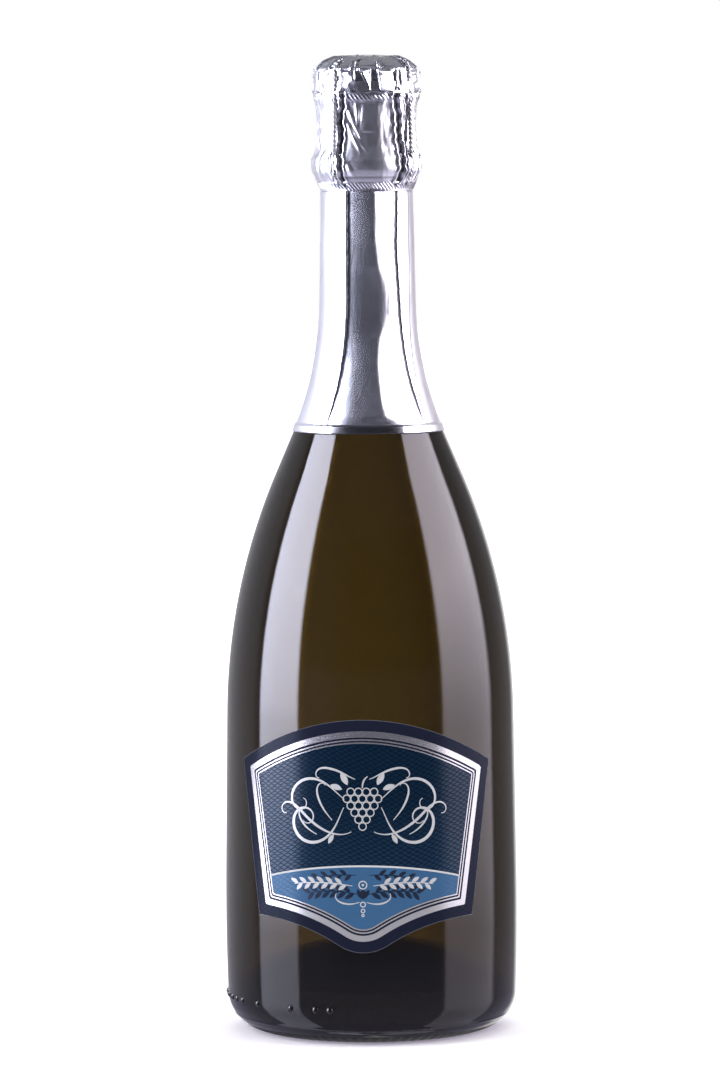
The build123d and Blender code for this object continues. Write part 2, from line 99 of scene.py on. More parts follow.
# Marks of the mould
parting_height = 5.0
parting_relief = 0.2
parting_width = 0.35
knurl_count = 76
knurl_relief = 0.45
knurl_top = 2.4
knurl_bottom = -0.4
# Below this height the outside of the foot gets near-black glass: partly the dark glass, partly painted
# shade where the base meets the floor
foot_rim_height = 2.7
dot_radius = 1.2
dot_height_on_glass = 0.65
dot_lean = -3.0
dot_sides = 24
dot_azimuths = (-86.6, -78.6, -71.6, -65.6, -60.1, -48.6, -30.6, -19.6, -13.6)

# Wine, let a little into the glass so that light passes from one to the other without air
fill_drop = 70.0
wine_overlap = 0.03

# Front label on the unrolled paper, and its print
label_thickness = 0.12
label_gap = 0.05
label_top = 101.4
label_shoulder_height = 87.3
label_shoulder_reach = 45.4
label_foot_height = 39.7
label_foot_reach = 36.5
label_tip = 29.6
label_tip_curve = 14.0
label_tip_lean = 33.0
label_cell = 0.9
divider_height = 56.4
divider_bend = 0.0042
divider_width = 0.56
silver_bands = ((3.5, 5.3), (5.95, 6.35), (6.9, 7.25))
net_pitch = 1.5
net_wave_length = 5.2
net_sway_length = 47.0
hatch_pitch = 0.42
outline_stroke = 0.17
print_lift = 0.03
dark_print_lift = 0.02

# Foil
foil_thickness = 0.15
foil_gap = 0.1
skirt_drop = 98.4
tear_drop = 23.7
hem_height = 2.5
hem_stand = 0.12
hem_flare = 0.38
flap_thickness = 0.42
hood_fold_depth = 0.9
disc_fold_depth = 1.2

# Cork, cap and cage
cork_clearance = 0.08
cork_depth = 24.0
cork_disc_thickness = 5.5
cork_disc_chamfers = {"lower": 0.6, "upper": 0.1}
cork_head_height = 16.2
cork_head_radius = 15.0
cork_head_edge = 3.0
cork_neck_radius = 12.0
cork_neck_rise = 5.0
cap_thickness = 0.25
cap_dome_radius = 10.2
cap_dome_rise = 0.55
cap_edge = 2.8
cap_side_gap = 0.25
cap_rim_drop = 3.4
frame_wire = 0.7
belt_wire = 0.9
wire_gap = 0.05
frame_ring_radius = 12.0
twist_pitch = 6.0
first_leg_azimuth = -33.0
leg_count = 4
belt_drop = 20.9
eye_radius = 0.85
leg_tuck_angle = 58.0
loop_azimuth = 192.0
loop_shank = 4.6
loop_width = 7.0
loop_length = 9.0
loop_ring_gap = 0.15

# Fineness of the meshes
glass_segments = 608
cork_segments = 128
foil_columns = 800
skirt_columns = 900
glass_step = 2.2
wine_step = 3.0
cork_step = 1.0
cap_step = 0.8
wire_step = 0.25
disc_step = 0.25
pole_radius = 1e-6

# Where the arcs and straight stretches of the glass wall meet
taper_lean = degrees(atan2(belly_radius - shoulder_radius, shoulder_height - belly_height))
shoulder_arc_radius = shoulder_radius - shoulder_curve * cos(radians(taper_lean))
shoulder_arc_height = shoulder_height - shoulder_curve * sin(radians(taper_lean))
cone_low_radius = shoulder_arc_radius + shoulder_curve * cos(radians(cone_lean))
cone_low_height = shoulder_arc_height + shoulder_curve * sin(radians(cone_lean))
neck_arc_radius = neck_foot_radius + neck_curve * cos(radians(neck_lean))
cone_high_radius = neck_arc_radius - neck_curve * cos(radians(cone_lean))
cone_high_height = cone_low_height + (cone_low_radius - cone_high_radius) / tan(radians(cone_lean))
neck_arc_height = cone_high_height + neck_curve * sin(radians(cone_lean))
neck_foot_height = neck_arc_height - neck_curve * sin(radians(neck_lean))
neck_top_radius = neck_foot_radius - neck_length * tan(radians(neck_lean))
punt_curve = (punt_radius ** 2 + punt_height ** 2) / (2 * punt_height)
punt_centre = punt_height - punt_curve

# Heights and radii that several pieces share
wire_ring_bottom = neck_foot_height + neck_length
wire_ring_top = wire_ring_bottom + wire_ring_height
bottle_height = wire_ring_top + wire_ring_drop
belt_height = bottle_height - belt_drop
tear_height = bottle_height - tear_drop
skirt_bottom = bottle_height - skirt_drop
hem_top = skirt_bottom + hem_height
bore_bottom = bottle_height - bore_depth
fill_height = bottle_height - fill_drop
cork_radius = bore_radius - cork_clearance
cork_bottom = bottle_height - cork_depth
cork_top = bottle_height + cork_head_height
cap_top = cork_top + cap_thickness
cap_edge_radius = cork_head_radius + cap_side_gap - cap_edge
cap_edge_height = cork_top - cap_edge
belt_radius = belt_groove_radius + 2 * wire_gap + frame_wire + belt_wire / 2
leg_at_ring = wire_ring_radius + wire_gap + frame_wire
leg_round_cap = cap_edge + cap_thickness + wire_gap + frame_wire
frame_ring_height = cap_top + frame_wire / 2
loop_radius = wire_ring_radius + loop_ring_gap + belt_wire


# Outlines

def arc(centre_radius, centre_height, curve, start, end, steps=16):
    """Points of an arc, its angles measured from the outward radius upwards."""
    angles = np.radians(np.linspace(start, end, steps + 1))
    return [(centre_radius + curve * cos(a), centre_height + curve * sin(a)) for a in angles]


def straight(start, end, steps):
    """Points of a straight stretch, without its start."""
    return [(start[0] + share * (end[0] - start[0]), start[1] + share * (end[1] - start[1]))
            for share in np.linspace(0, 1, steps + 1)[1:]]


def arc_towards(x, y, curve, start, end, steps):
    """Points of the shorter arc about a centre, from the way to one place to the way to another."""
    first = atan2(start[1] - y, start[0] - x)
    sweep = (atan2(end[1] - y, end[0] - x) - first + pi) % (2 * pi) - pi
    return arc(x, y, curve, degrees(first), degrees(first + sweep), steps)


def three_point_arc(first, middle, last, steps):
    """Points of the circle through three points, from the first to the last."""
    a, b, c = [complex(*place) for place in (first, middle, last)]
    w = (c - a) / (b - a)
    centre = a + (b - a) * (w - abs(w) ** 2) / (2j * w.imag)
    return arc_towards(centre.real, centre.imag, abs(a - centre), first, last, steps)


def tangent_arc(start, end, way, steps):
    """Points of the arc that leaves its start in a given direction and meets its end."""
    across = (-way[1], way[0])
    dx, dy = end[0] - start[0], end[1] - start[1]
    radius = (dx * dx + dy * dy) / (2 * (dx * across[0] + dy * across[1]))
    x, y = start[0] + radius * across[0], start[1] + radius * across[1]
    return arc_towards(x, y, abs(radius), start, end, steps)


def divided(points, step):
    """An outline with extra points, so that no stretch is longer than a step."""
    line = [points[0]]
    for start, end in zip(points, points[1:]):
        line += straight(start, end, max(1, ceil(hypot(end[0] - start[0], end[1] - start[1]) / step)))
    return line


def directions(line):
    """The unit direction along a line at each of its points."""
    way = np.gradient(np.array(line), axis=0)
    return way / np.linalg.norm(way, axis=1)[:, None]


def shifted(line, offset):
    """An outline moved to its right-hand side as one looks along it."""
    way = directions(line)
    return line + offset * np.stack([way[:, 1], -way[:, 0]], axis=1)


def outer_wall():
    """The glass wall outside, from the bearing ring up to the wire ring."""
    lean = radians(heel_top_lean)
    belly, shoulder = (belly_radius, belly_height), (shoulder_radius, shoulder_height)
    points = arc(heel_wall_radius - heel_curve, heel_curve, heel_curve, -90, -heel_top_lean, 48)
    points += tangent_arc(points[-1], belly, (sin(lean), cos(lean)), 24)[1:]
    points += straight(belly, shoulder, 24)
    points += arc(shoulder_arc_radius, shoulder_arc_height, shoulder_curve, taper_lean, cone_lean, 60)[1:]
    points += arc(neck_arc_radius, neck_arc_height, neck_curve, 180 + cone_lean, 180 + neck_lean, 40)
    points += straight((neck_foot_radius, neck_foot_height), (neck_top_radius, wire_ring_bottom), 20)
    return points


WALL = np.array(outer_wall())


def wall_radius(height, offset=0.0):
    """Radius of the glass outside at a height, or of a coat that stands off from it."""
    line = shifted(WALL, offset) if offset else WALL
    return np.interp(height, line[:, 1], line[:, 0])


def underside():
    """The punt from its middle out to the bearing ring."""
    edge = degrees(atan2(-punt_centre, punt_radius)) + punt_edge_turn
    dome = arc(0, punt_centre, punt_curve, 90, edge, 40)
    ring = [(punt_radius + bearing_lip, bearing_lip_height), (punt_radius + bearing_round, 0.0)]
    return [(0.0, punt_height)] + dome[1:] + ring


def collar(radius, low, high, edge, steps):
    """The side of a collar of the glass with a rounded edge below and above."""
    return (arc(radius - edge, low + edge, edge, -90, 0, steps)
            + arc(radius - edge, high - edge, edge, 0, 90, steps))


def finish_outline():
    """The bead that holds the wires, the lip and the rounded mouth, from under the ring inwards."""
    groove = wire_ring_bottom - belt_groove_height
    lip_bottom = bottle_height - lip_height
    points = [(wall_radius(groove), groove), (belt_groove_radius, groove + belt_groove_edge),
              (belt_groove_radius, wire_ring_bottom)]
    points += collar(wire_ring_radius, wire_ring_bottom, wire_ring_top, wire_ring_edge, 10)
    points += [(belt_groove_radius, wire_ring_top), (belt_groove_radius, lip_bottom)]
    points += collar(lip_radius, lip_bottom, bottle_height, lip_edge, 8)
    return points + arc(bore_radius + mouth_edge, bottle_height - mouth_edge, mouth_edge, 90, 180, 6)


def cavity_outline(gap):
    """The space inside the glass below the bore, from the bore down to the middle of the punt."""
    ball = punt_curve + base_thickness + gap
    inner = shifted(WALL, -wall_thickness - gap)
    inner = inner[(inner[:, 1] < bore_bottom - bore_flare) & (inner[:, 0] > 0)]
    inner = inner[np.hypot(inner[:, 0], inner[:, 1] - punt_centre) > ball]
    foot = degrees(atan2(inner[0][1] - punt_centre, inner[0][0]))
    dome = arc(0, punt_centre, ball, foot, 90, 36)
    return [tuple(p) for p in inner[::-1]] + dome[1:-1] + [(0.0, punt_centre + ball)]


def glass_outline():
    """The whole half outline of the glass, from the middle of the punt round to its inside."""
    wall = [tuple(p) for p in WALL if p[1] < wire_ring_bottom - belt_groove_height
            and (p[0] > punt_radius + bearing_width or p[1] > heel_curve)]
    return underside() + wall + finish_outline() + [(bore_radius, bore_bottom)] + cavity_outline(0)


# Meshes

def around(radii, azimuths, heights):
    """Points from cylindrical places, azimuths in degrees from -Y towards +X."""
    turn = np.radians(azimuths)
    heights = np.broadcast_to(heights, np.shape(turn))
    return np.stack([radii * np.sin(turn), -radii * np.cos(turn), heights], axis=-1)


def facing(azimuth, radii, aside, heights):
    """Points given by how far they lie out, aside and up as one looks in at an azimuth."""
    turn = radians(azimuth)
    radii, aside, heights = np.broadcast_arrays(radii, aside, heights)
    across = radii * sin(turn) + aside * cos(turn)
    return np.stack([across, aside * sin(turn) - radii * cos(turn), heights], axis=-1)


def linked(name, data):
    """A new object in the scene."""
    piece = bpy.data.objects.new(name, data)
    bpy.context.scene.collection.objects.link(piece)
    return piece


def new_object(name, vertices, faces, sharp=None):
    """An object from vertices in millimetres, smooth shaded, with edges kept where they are sharp."""
    mesh = bpy.data.meshes.new(name)
    mesh.from_pydata((np.asarray(vertices, dtype=float) * MM).tolist(), [], faces)
    mesh.validate()
    mesh.polygons.foreach_set("use_smooth", [True] * len(mesh.polygons))
    if sharp:
        mesh.set_sharp_from_angle(angle=radians(sharp))
    return linked(name, mesh)


def keep(piece, name, kind, values):
    """Keep a value of each vertex for the material."""
    field = {"FLOAT": "value", "FLOAT_VECTOR": "vector", "FLOAT_COLOR": "color"}[kind]
    piece.data.attributes.new(name, kind, "POINT").data.foreach_set(field, np.ravel(values))


def strip_faces(first, second, count, poles=(False, False)):
    """Faces between two closed rows, given by their first vertices. A pole is a single vertex."""
    faces = []
    for column in range(count):
        after = (column + 1) % count
        low = [first] if poles[0] else [first + column, first + after]
        high = [second] if poles[1] else [second + after, second + column]
        faces.append(low + high)
    return faces


def lathe(name, outline, segments=192, relief=None, sharp=None):
    """A turned solid. Its relief gives what is added to the radius at an azimuth and height."""
    azimuths = np.linspace(0, 360, segments, endpoint=False)
    poles = [radius < pole_radius for radius, _ in outline]
    vertices, starts, faces = [], [], []
    for (radius, height), pole in zip(outline, poles):
        starts.append(len(vertices))
        radii = radius + (relief(azimuths, radius, height) if relief else 0 * azimuths)
        ring = around(radii, azimuths, height).tolist()
        vertices += [(0, 0, height)] if pole else ring
    for row in range(len(outline) - 1):
        faces += strip_faces(starts[row], starts[row + 1], segments, poles[row:row + 2])
    return new_object(name, vertices, faces, sharp)


def wound_shell(name, rows):
    """A closed thin shell from closed rows of points: up the outside and back down the inside.

    Each point is a place, how much painted shade darkens it, and how dull the foil is there."""
    count = len(rows[0])
    values = np.concatenate(rows)
    faces = []
    for row in range(len(rows)):
        faces += strip_faces(row * count, (row + 1) % len(rows) * count, count)
    piece = new_object(name, values[:, :3], faces)
    for column, kind in ((3, "shade"), (4, "dull")):
        keep(piece, kind, "FLOAT", np.clip(values[:, column], 0, 1))
    return piece


def wires(name, paths, thickness, closed=()):
    """Round wires along paths of points, as one curve object."""
    curve = bpy.data.curves.new(name, "CURVE")
    curve.dimensions = "3D"
    curve.bevel_depth = thickness / 2 * MM
    curve.bevel_resolution = 4
    curve.use_fill_caps = True
    for number, path in enumerate(paths):
        spline = curve.splines.new("POLY")
        spline.points.add(len(path) - 1)
        for point, place in zip(spline.points, path):
            point.co = (*[MM * value for value in place], 1)
        spline.use_cyclic_u = number in closed
        spline.use_smooth = True
    return linked(name, curve)


def dress(piece, body, slot, material, *nodes):
    """Put a piece on its body, in place of the nodes it stands for, with its finish."""
    piece.data.materials.append(material)
    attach(piece, body)
    if nodes:
        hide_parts(*nodes)


# Materials

class Value:
    """An output of a node, ready for sums with numbers and other outputs."""

    def __init__(self, nodes, socket):
        self.nodes, self.socket = nodes, socket

    def __add__(self, other):
        return self.nodes.maths("ADD", self, other)

    def __sub__(self, other):
        return self.nodes.maths("SUBTRACT", self, other)

    def __rsub__(self, other):
        return self.nodes.maths("SUBTRACT", other, self)

    def __mul__(self, other):
        return self.nodes.maths("MULTIPLY", self, other)


class Nodes:
    """Short ways to add nodes to the tree of a material or world."""

    def __init__(self, tree):
        self.tree = tree

    def feed(self, socket, value):
        if isinstance(value, Value):
            self.tree.links.new(value.socket, socket)
        else:
            socket.default_value = (*value, 1) if socket.type == "RGBA" else value

    def node(self, kind, output=0, settings=None, **inputs):
        """One output of a new node, whose inputs get values or other outputs."""
        node = self.tree.nodes.new(kind)
        for name, value in (settings or {}).items():
            setattr(node, name, value)
        for name, value in inputs.items():
            self.feed(node.inputs[name.replace("_", " ")], value)
        return Value(self, node.outputs[output])

    def joined(self, kind, settings, *values):
        """The output of a node whose inputs are filled in their order."""
        node = self.node(kind, 0, settings)
        for socket, value in zip(node.socket.node.inputs, values):
            self.feed(socket, value)
        return node

    def maths(self, operation, *values):
        return self.joined("ShaderNodeMath", {"operation": operation}, *values)

    def mix(self, share, first, second):
        return self.node("ShaderNodeMix", "Result", {"data_type": "RGBA"}, Factor=share, A=first, B=second)

    def ramp(self, value, low, high):
        """0 at the first limit and 1 at the other."""
        return self.node("ShaderNodeMapRange", "Result", {"clamp": True}, Value=value,
                         From_Min=low, From_Max=high)

    def band(self, value, low, high, soft):
        """1 where a value lies between two limits, with soft ends."""
        half = soft / 2
        return self.ramp(value, low - half, low + half) - self.ramp(value, high - half, high + half)

    def attribute(self, name, output="Fac"):
        return self.node("ShaderNodeAttribute", output, {"attribute_name": name})

    def place(self):
        """The object's own coordinates, in metres."""
        return self.node("ShaderNodeTexCoord", "Object")

    def noise(self, scale, detail=4.0, stretch=(1, 1, 1)):
        mapping = self.node("ShaderNodeMapping", Vector=self.place(), Scale=stretch)
        return self.node("ShaderNodeTexNoise", "Fac", Vector=mapping, Scale=scale, Detail=detail)


class Shader(Nodes):
    """A material with a principled surface."""

    def __init__(self, name, **inputs):
        self.material = bpy.data.materials.new(name)
        self.material.use_nodes = True
        super().__init__(self.material.node_tree)
        self.surface = self.tree.nodes["Principled BSDF"]
        self.output = self.tree.nodes["Material Output"]
        self.finish(**inputs)

    def finish(self, **inputs):
        for name, value in inputs.items():
            self.feed(self.surface.inputs[name.replace("_", " ")], value)
        return self.material

    def bump(self, height, strength, distance_mm):
        self.finish(Normal=self.node("ShaderNodeBump", Height=height, Strength=strength,
                                     Distance=distance_mm * MM))

    def absorb(self, colour, density):
        """Colour that light takes on through the thickness."""
        volume = self.node("ShaderNodeVolumeAbsorption", Color=colour, Density=density)
        self.feed(self.output.inputs["Volume"], volume)


def glass_material():
    """Dark olive glass, coloured through its thickness, with a slight ripple from the mould."""
    shader = Shader("bottle_glass", Base_Color=(1, 1, 1), Roughness=0.02, IOR=1.5, Transmission_Weight=1.0)
    shader.bump(shader.noise(45.0, 2.0, (1, 1, 0.35)), 0.12, 0.4)
    shader.absorb((0.457, 0.37, 0.03), 620.0)
    return shader.material


def wine_material():
    """Pale straw wine."""
    shader = Shader("straw_wine", Base_Color=(1, 1, 1), Roughness=0.0, IOR=1.34, Transmission_Weight=1.0)
    shader.absorb((0.9, 0.75, 0.05), 4.5)
    return shader.material


def dark_glass(name, roughness, shine):
    """The glass of the heel's lenses and of the scuffed rim, where no light comes through; on the rim,
    partly painted shade.
    """
    shader = Shader(name, Roughness=roughness, IOR=1.5, Specular_IOR_Level=shine)
    return shader.finish(Base_Color=shader.mix(shader.noise(900.0), (0.002, 0.002, 0.003),
                                               (0.006, 0.006, 0.007)))


def foil_material(name, roughness):
    """Silver foil with faint rolling marks, duller patches, and painted shade in its folds."""
    shader = Shader(name, Metallic=1.0, IOR=1.5)
    patches = shader.ramp(shader.noise(120.0, 3.0), 0.3, 0.75)
    silver = shader.mix(patches, (0.83, 0.84, 0.88), (0.79, 0.8, 0.85))
    shader.bump(shader.noise(1400.0, 3.0, (1, 1, 0.25)), 0.25, 0.012)
    # The shade attribute mixes the silver towards near black: painted shade
    return shader.finish(Roughness=patches * 0.06 + (shader.attribute("dull") * 0.13 + roughness),
                         Base_Color=shader.mix(shader.attribute("shade"), silver, (0.012, 0.012, 0.017)))


def net_lines(shader, across, up):
    """Two families of waved lines that cross and make a net."""
    waves = shader.maths("SINE", across * (2 * pi / net_wave_length)) * 0.55
    sway = shader.maths("SINE", across * (2 * pi / net_sway_length)) * 1.2
    lines = []
    for way in (1.0, -1.0):
        share = shader.maths("FRACT", shader.maths("DIVIDE", waves * way + (up + sway), net_pitch))
        lines.append(shader.ramp(shader.maths("ABSOLUTE", share - 0.5), 0.16, 0.06))
    return shader.maths("MAXIMUM", *lines)


def label_material():
    """Printed paper: dark margin, silver bands, a fine waved net, and a lighter field at the foot."""
    shader = Shader("label_print", IOR=1.45, Specular_Tint=(0.75, 0.87, 1.0))
    edge, flat = shader.attribute("edge"), shader.attribute("flat", "Vector")
    across, up = [shader.node("ShaderNodeSeparateXYZ", axis, Vector=flat) for axis in "XY"]
    net = net_lines(shader, across, up)

    # The field over the dividing arc, with its net, and the field under it
    field = shader.mix(shader.ramp(up, 76.0, divider_height), (0.0012, 0.013, 0.034), (0.006, 0.024, 0.056))
    field = shader.mix(net * 0.7, field, (0.0002, 0.003, 0.011))
    level = up + across * across * divider_bend
    foot = shader.mix(shader.noise(60.0), (0.034, 0.097, 0.212), (0.042, 0.113, 0.238))
    field = shader.mix(shader.ramp(level, divider_height + 0.12, divider_height - 0.12), field, foot)
    half = divider_width / 2
    divider = shader.band(level, divider_height - half, divider_height + half, 0.1)

    # Margin, divider and cut edge, and the hatched silver over them
    silver = shader.band(edge, *silver_bands[0], 0.08)
    for low, high in silver_bands[1:]:
        silver = shader.maths("MAXIMUM", silver, shader.band(edge, low, high, 0.08))
    print_edge = silver_bands[-1][1]
    margin = shader.ramp(edge, print_edge + 0.1, print_edge)
    inside = 1.0 - margin
    colour = shader.mix(margin, field, (0.0105, 0.0125, 0.028))
    colour = shader.mix(divider * inside, colour, (0.55, 0.55, 0.58))
    colour = shader.mix(shader.ramp(edge, 0.12, 0.02), colour, (0.2, 0.21, 0.25))
    hatch = shader.maths("ABSOLUTE", shader.maths("SINE", (across - up) * (pi / hatch_pitch)))
    shine = shader.mix(hatch * 0.75, (0.88, 0.86, 0.88), (0.2, 0.2, 0.23))
    gloss = (inside * 0.33 + 0.15) * (net * -0.75 + 1.0)
    shader.bump(shader.noise(2200.0, 2.0) * 0.12 + (net * 0.1 + silver), 0.4, 0.02)
    # The silver is less metallic lower down the label, so it shows lighter there than at the top: painted
    # light
    return shader.finish(Base_Color=shader.mix(silver, colour, shine), Roughness=silver * 0.04 + 0.23,
                         Metallic=silver * (shader.ramp(up, 96.0, 78.0) * -0.36 + 0.94),
                         Specular_IOR_Level=shader.maths("MAXIMUM", gloss, silver))


def print_material(name, colour, metallic):
    """Ink or hot foil of the ornament."""
    shader = Shader(name, Metallic=metallic, Roughness=0.35)
    shade = tuple(0.8 * part for part in colour)
    return shader.finish(Base_Color=shader.mix(shader.noise(900.0), colour, shade))


def granular_cork_material():
    """Grains of cork pressed together, light and dark."""
    shader = Shader("cork_grains", Roughness=0.85)
    cells = {"Vector": shader.place(), "Scale": 620.0}
    colours = shader.node("ShaderNodeTexVoronoi", "Color", **cells)
    tone = shader.node("ShaderNodeSeparateColor", Color=colours)
    edges = shader.node("ShaderNodeTexVoronoi", "Distance", {"feature": "DISTANCE_TO_EDGE"}, **cells)
    joint = shader.ramp(edges, 0.08, 0.0)
    shader.bump(joint * -1.0 + shader.noise(2500.0), 0.6, 0.15)
    grain = shader.mix(tone, (0.62, 0.4, 0.22), (0.36, 0.2, 0.1))
    return shader.finish(Base_Color=shader.mix(joint, grain, (0.2, 0.11, 0.06)))


def natural_cork_material():
    """Whole cork with fine growth lines and dark pores."""
    shader = Shader("cork_whole", Roughness=0.8)
    rings = shader.ramp(shader.noise(220.0, 5.0, (1, 0.2, 6)), 0.35, 0.65)
    grain = shader.mix(rings, (0.6, 0.4, 0.23), (0.48, 0.29, 0.15))
    pores = shader.ramp(shader.noise(700.0, 2.0, (1, 1, 3)), 0.66, 0.72)
    shader.bump(pores * -1.0, 0.6, 0.2)
    return shader.finish(Base_Color=shader.mix(pores, grain, (0.12, 0.06, 0.03)))


def wire_material():
    """Bright drawn steel wire with fine marks along it."""
    shader = Shader("drawn_wire", Base_Color=(0.5, 0.5, 0.5), Metallic=1.0)
    shader.bump(shader.noise(4000.0, 2.0), 0.2, 0.02)
    return shader.finish(Roughness=shader.noise(1500.0) * 0.25 + 0.2)


def cap_material():
    """Lacquered tin cap."""
    shader = Shader("lacquered_cap", Metallic=1.0, Roughness=0.3, Coat_Weight=0.5, Coat_Roughness=0.1)
    shader.bump(shader.noise(2000.0), 0.15, 0.02)
    return shader.finish(Base_Color=shader.mix(shader.noise(500.0), (0.55, 0.56, 0.6), (0.68, 0.69, 0.72)))


# Shapes of relief

def bell(distance, width, power=2):
    """1 at no distance, falling off over a width, with a flatter top for a higher power."""
    return np.exp(-(distance / width) ** power)


def smooth(value, low, high):
    """0 up to a low value and 1 from a high one, with a soft step between them."""
    share = np.clip((value - low) / (high - low), 0, 1)
    return share * share * (3 - 2 * share)


def between(value, rise_start, rise_end, fall_start, fall_end):
    """1 in a range of values, with soft steps at both ends."""
    return smooth(value, rise_start, rise_end) * (1 - smooth(value, fall_start, fall_end))


def blend(first, second, share):
    return first + (second - first) * share


def apart(azimuths, azimuth):
    """Signed turn in degrees from one azimuth to others."""
    return (azimuths - azimuth + 180) % 360 - 180


def along(line, height):
    """The value at a height of a line given by pairs of height and value."""
    return np.interp(height, *zip(*sorted(line)))


def rough(azimuths, height, turns, rise, seed, octaves=2):
    """Noise on a closed band, by place: its turns round the axis and its rise in millimetres."""
    up = height / rise + seed
    return np.array([noise.fractal(Vector((turns * sin(a), turns * cos(a), up)), 0.6, 2.0, octaves)
                     for a in np.radians(azimuths)])


# Glass and wine

def mould_marks(azimuths, radius, height):
    """The parting line round the heel and the knurls on the bearing ring."""
    marks = 0 * azimuths
    if radius < punt_radius or height > 2 * parting_height:
        return marks
    marks = marks + parting_relief * bell(height - parting_height, parting_width)
    if height < knurl_top:
        fade = sin(pi * min(1, (height - knurl_bottom) / (knurl_top - knurl_bottom)))
        notches = np.cos(np.radians(azimuths) * knurl_count)
        marks = marks - knurl_relief * fade * np.clip(0.3 - notches, 0, 1)
    return marks


def heel_dots():
    """Small round lenses on the heel, open at the top, which is inside the glass."""
    lean = radians(dot_lean)
    reach = heel_curve + dot_height_on_glass - dot_radius
    middle_radius = heel_wall_radius - heel_curve + reach * cos(lean)
    turns = np.linspace(90, 450, dot_sides, endpoint=False)
    ball = arc(0, 0, dot_radius, -90, 90)
    vertices, faces = [], []
    for azimuth in dot_azimuths:
        middle = around(middle_radius, azimuth, heel_curve + reach * sin(lean))
        for row, (radius, height) in enumerate(ball):
            if 0 < row < len(ball) - 1:
                faces += strip_faces(len(vertices) - dot_sides, len(vertices), dot_sides)
            vertices += (middle + around(max(radius, 0.001), turns, height)).tolist()
    return new_object("heel_dots", vertices, faces)


def make_glass():
    glass = lathe("glass", divided(glass_outline(), glass_step), glass_segments, mould_marks, 50)
    dress(glass, "bottle", "glass", glass_material(), "glass_bottle")
    # The foot rim's faces get near-black glass: partly painted shade where the base meets the floor
    glass.data.materials.append(dark_glass("rim_glass_painted_shade", 0.5, 0.12))
    for face in glass.data.polygons:
        x, y, z = face.center / MM
        if z < foot_rim_height and hypot(x, y) > punt_radius:
            face.material_index = 1
    dress(heel_dots(), "bottle", "glass", dark_glass("bead_glass", 0.06, 0.5))


def make_wine():
    inside = [point for point in cavity_outline(-wine_overlap) if point[1] < fill_height]
    outline = inside[::-1] + [(inside[0][0], fill_height), (0.0, fill_height)]
    wine = lathe("wine", divided(outline, wine_step), sharp=50)
    dress(wine, "bottle", "wine", wine_material(), "sparkling_wine")


# Label

def wrapped(reach):
    """How far aside a reach on the paper gets once the paper is bent round the belly."""
    return belly_radius * sin(reach / belly_radius)


def unrolled(aside):
    return belly_radius * asin(aside / belly_radius)


def label_outline():
    """The label's edge on the unrolled paper, anticlockwise from the tip."""
    foot = (wrapped(label_foot_reach), label_foot_height)
    shoulder = (wrapped(label_shoulder_reach), label_shoulder_height)
    lean = radians(label_tip_lean)
    half = arc(0, label_tip + label_tip_curve, label_tip_curve, -90, label_tip_lean - 90, 14)
    half += tangent_arc(half[-1], foot, (cos(lean), sin(lean)), 30)[1:]
    half += straight(foot, shoulder, 40)
    half += three_point_arc(shoulder, (0, label_top), (-shoulder[0], shoulder[1]), 80)[1:41]
    outline = [(unrolled(x), z) for x, z in half]
    return outline + [(-x, z) for x, z in outline[-2:0:-1]]


def edge_distance(points, outline):
    """Distance of each point from the nearest stretch of a closed outline."""
    points, starts = np.asarray(points), np.asarray(outline)
    best = np.full(len(points), np.inf)
    for start, step in zip(starts, np.roll(starts, -1, axis=0) - starts):
        share = np.clip(((points - start) @ step) / (step @ step), 0, 1)
        best = np.minimum(best, np.linalg.norm(points - start - share[:, None] * step, axis=1))
    return best


def inside_outline(point, outline):
    """Whether a point lies inside a closed outline."""
    x, z = point
    inside = False
    for (ax, az), (bx, bz) in zip(outline, outline[1:] + outline[:1]):
        if (az > z) != (bz > z) and x < ax + (z - az) * (bx - ax) / (bz - az):
            inside = not inside
    return inside


def on_label(flat, lift):
    """Places on the bottle of points of the unrolled paper, lifted off the glass."""
    across, up = np.transpose(flat)
    return around(wall_radius(up, label_gap + lift), np.degrees(across / belly_radius), up)


def label_sheet():
    """The label's paper, bent round the glass, with its flat places kept for the print."""
    outline = label_outline()
    rim = len(outline)
    edges = [(k, (k + 1) % rim) for k in range(rim)]
    low, high = np.min(outline, axis=0) + label_cell / 2, np.max(outline, axis=0)
    grid = [(x, z) for x in np.arange(low[0], high[0], label_cell)
            for z in np.arange(low[1], high[1], label_cell)]
    clear = edge_distance(grid, outline) > 0.45 * label_cell
    inner = [p for p, far in zip(grid, clear) if far and inside_outline(p, outline)]
    points = [Vector(p) for p in outline + inner]
    found, _, triangles, *_ = delaunay_2d_cdt(points, edges, [list(range(rim))], 1, 1e-6)
    flat = np.array([tuple(p) for p in found])
    count = len(flat)
    faces = [tuple(t) for t in triangles] + [tuple(count + k for k in reversed(t)) for t in triangles]
    faces += [(k, count + k, count + after, after) for k, after in edges]
    vertices = np.concatenate([on_label(flat, label_thickness), on_label(flat, 0.0)])
    sheet = new_object("label", vertices, faces, 45)
    keep(sheet, "flat", "FLOAT_VECTOR", np.pad(np.tile(flat, (2, 1)), ((0, 0), (0, 1))))
    keep(sheet, "edge", "FLOAT", np.tile(edge_distance(flat, outline), 2))
    return sheet


# Ornament of the label: scrolls, grapes and leaves, the same on both sides of its middle. Each
# stroke is a line on the paper with a half width at each point.

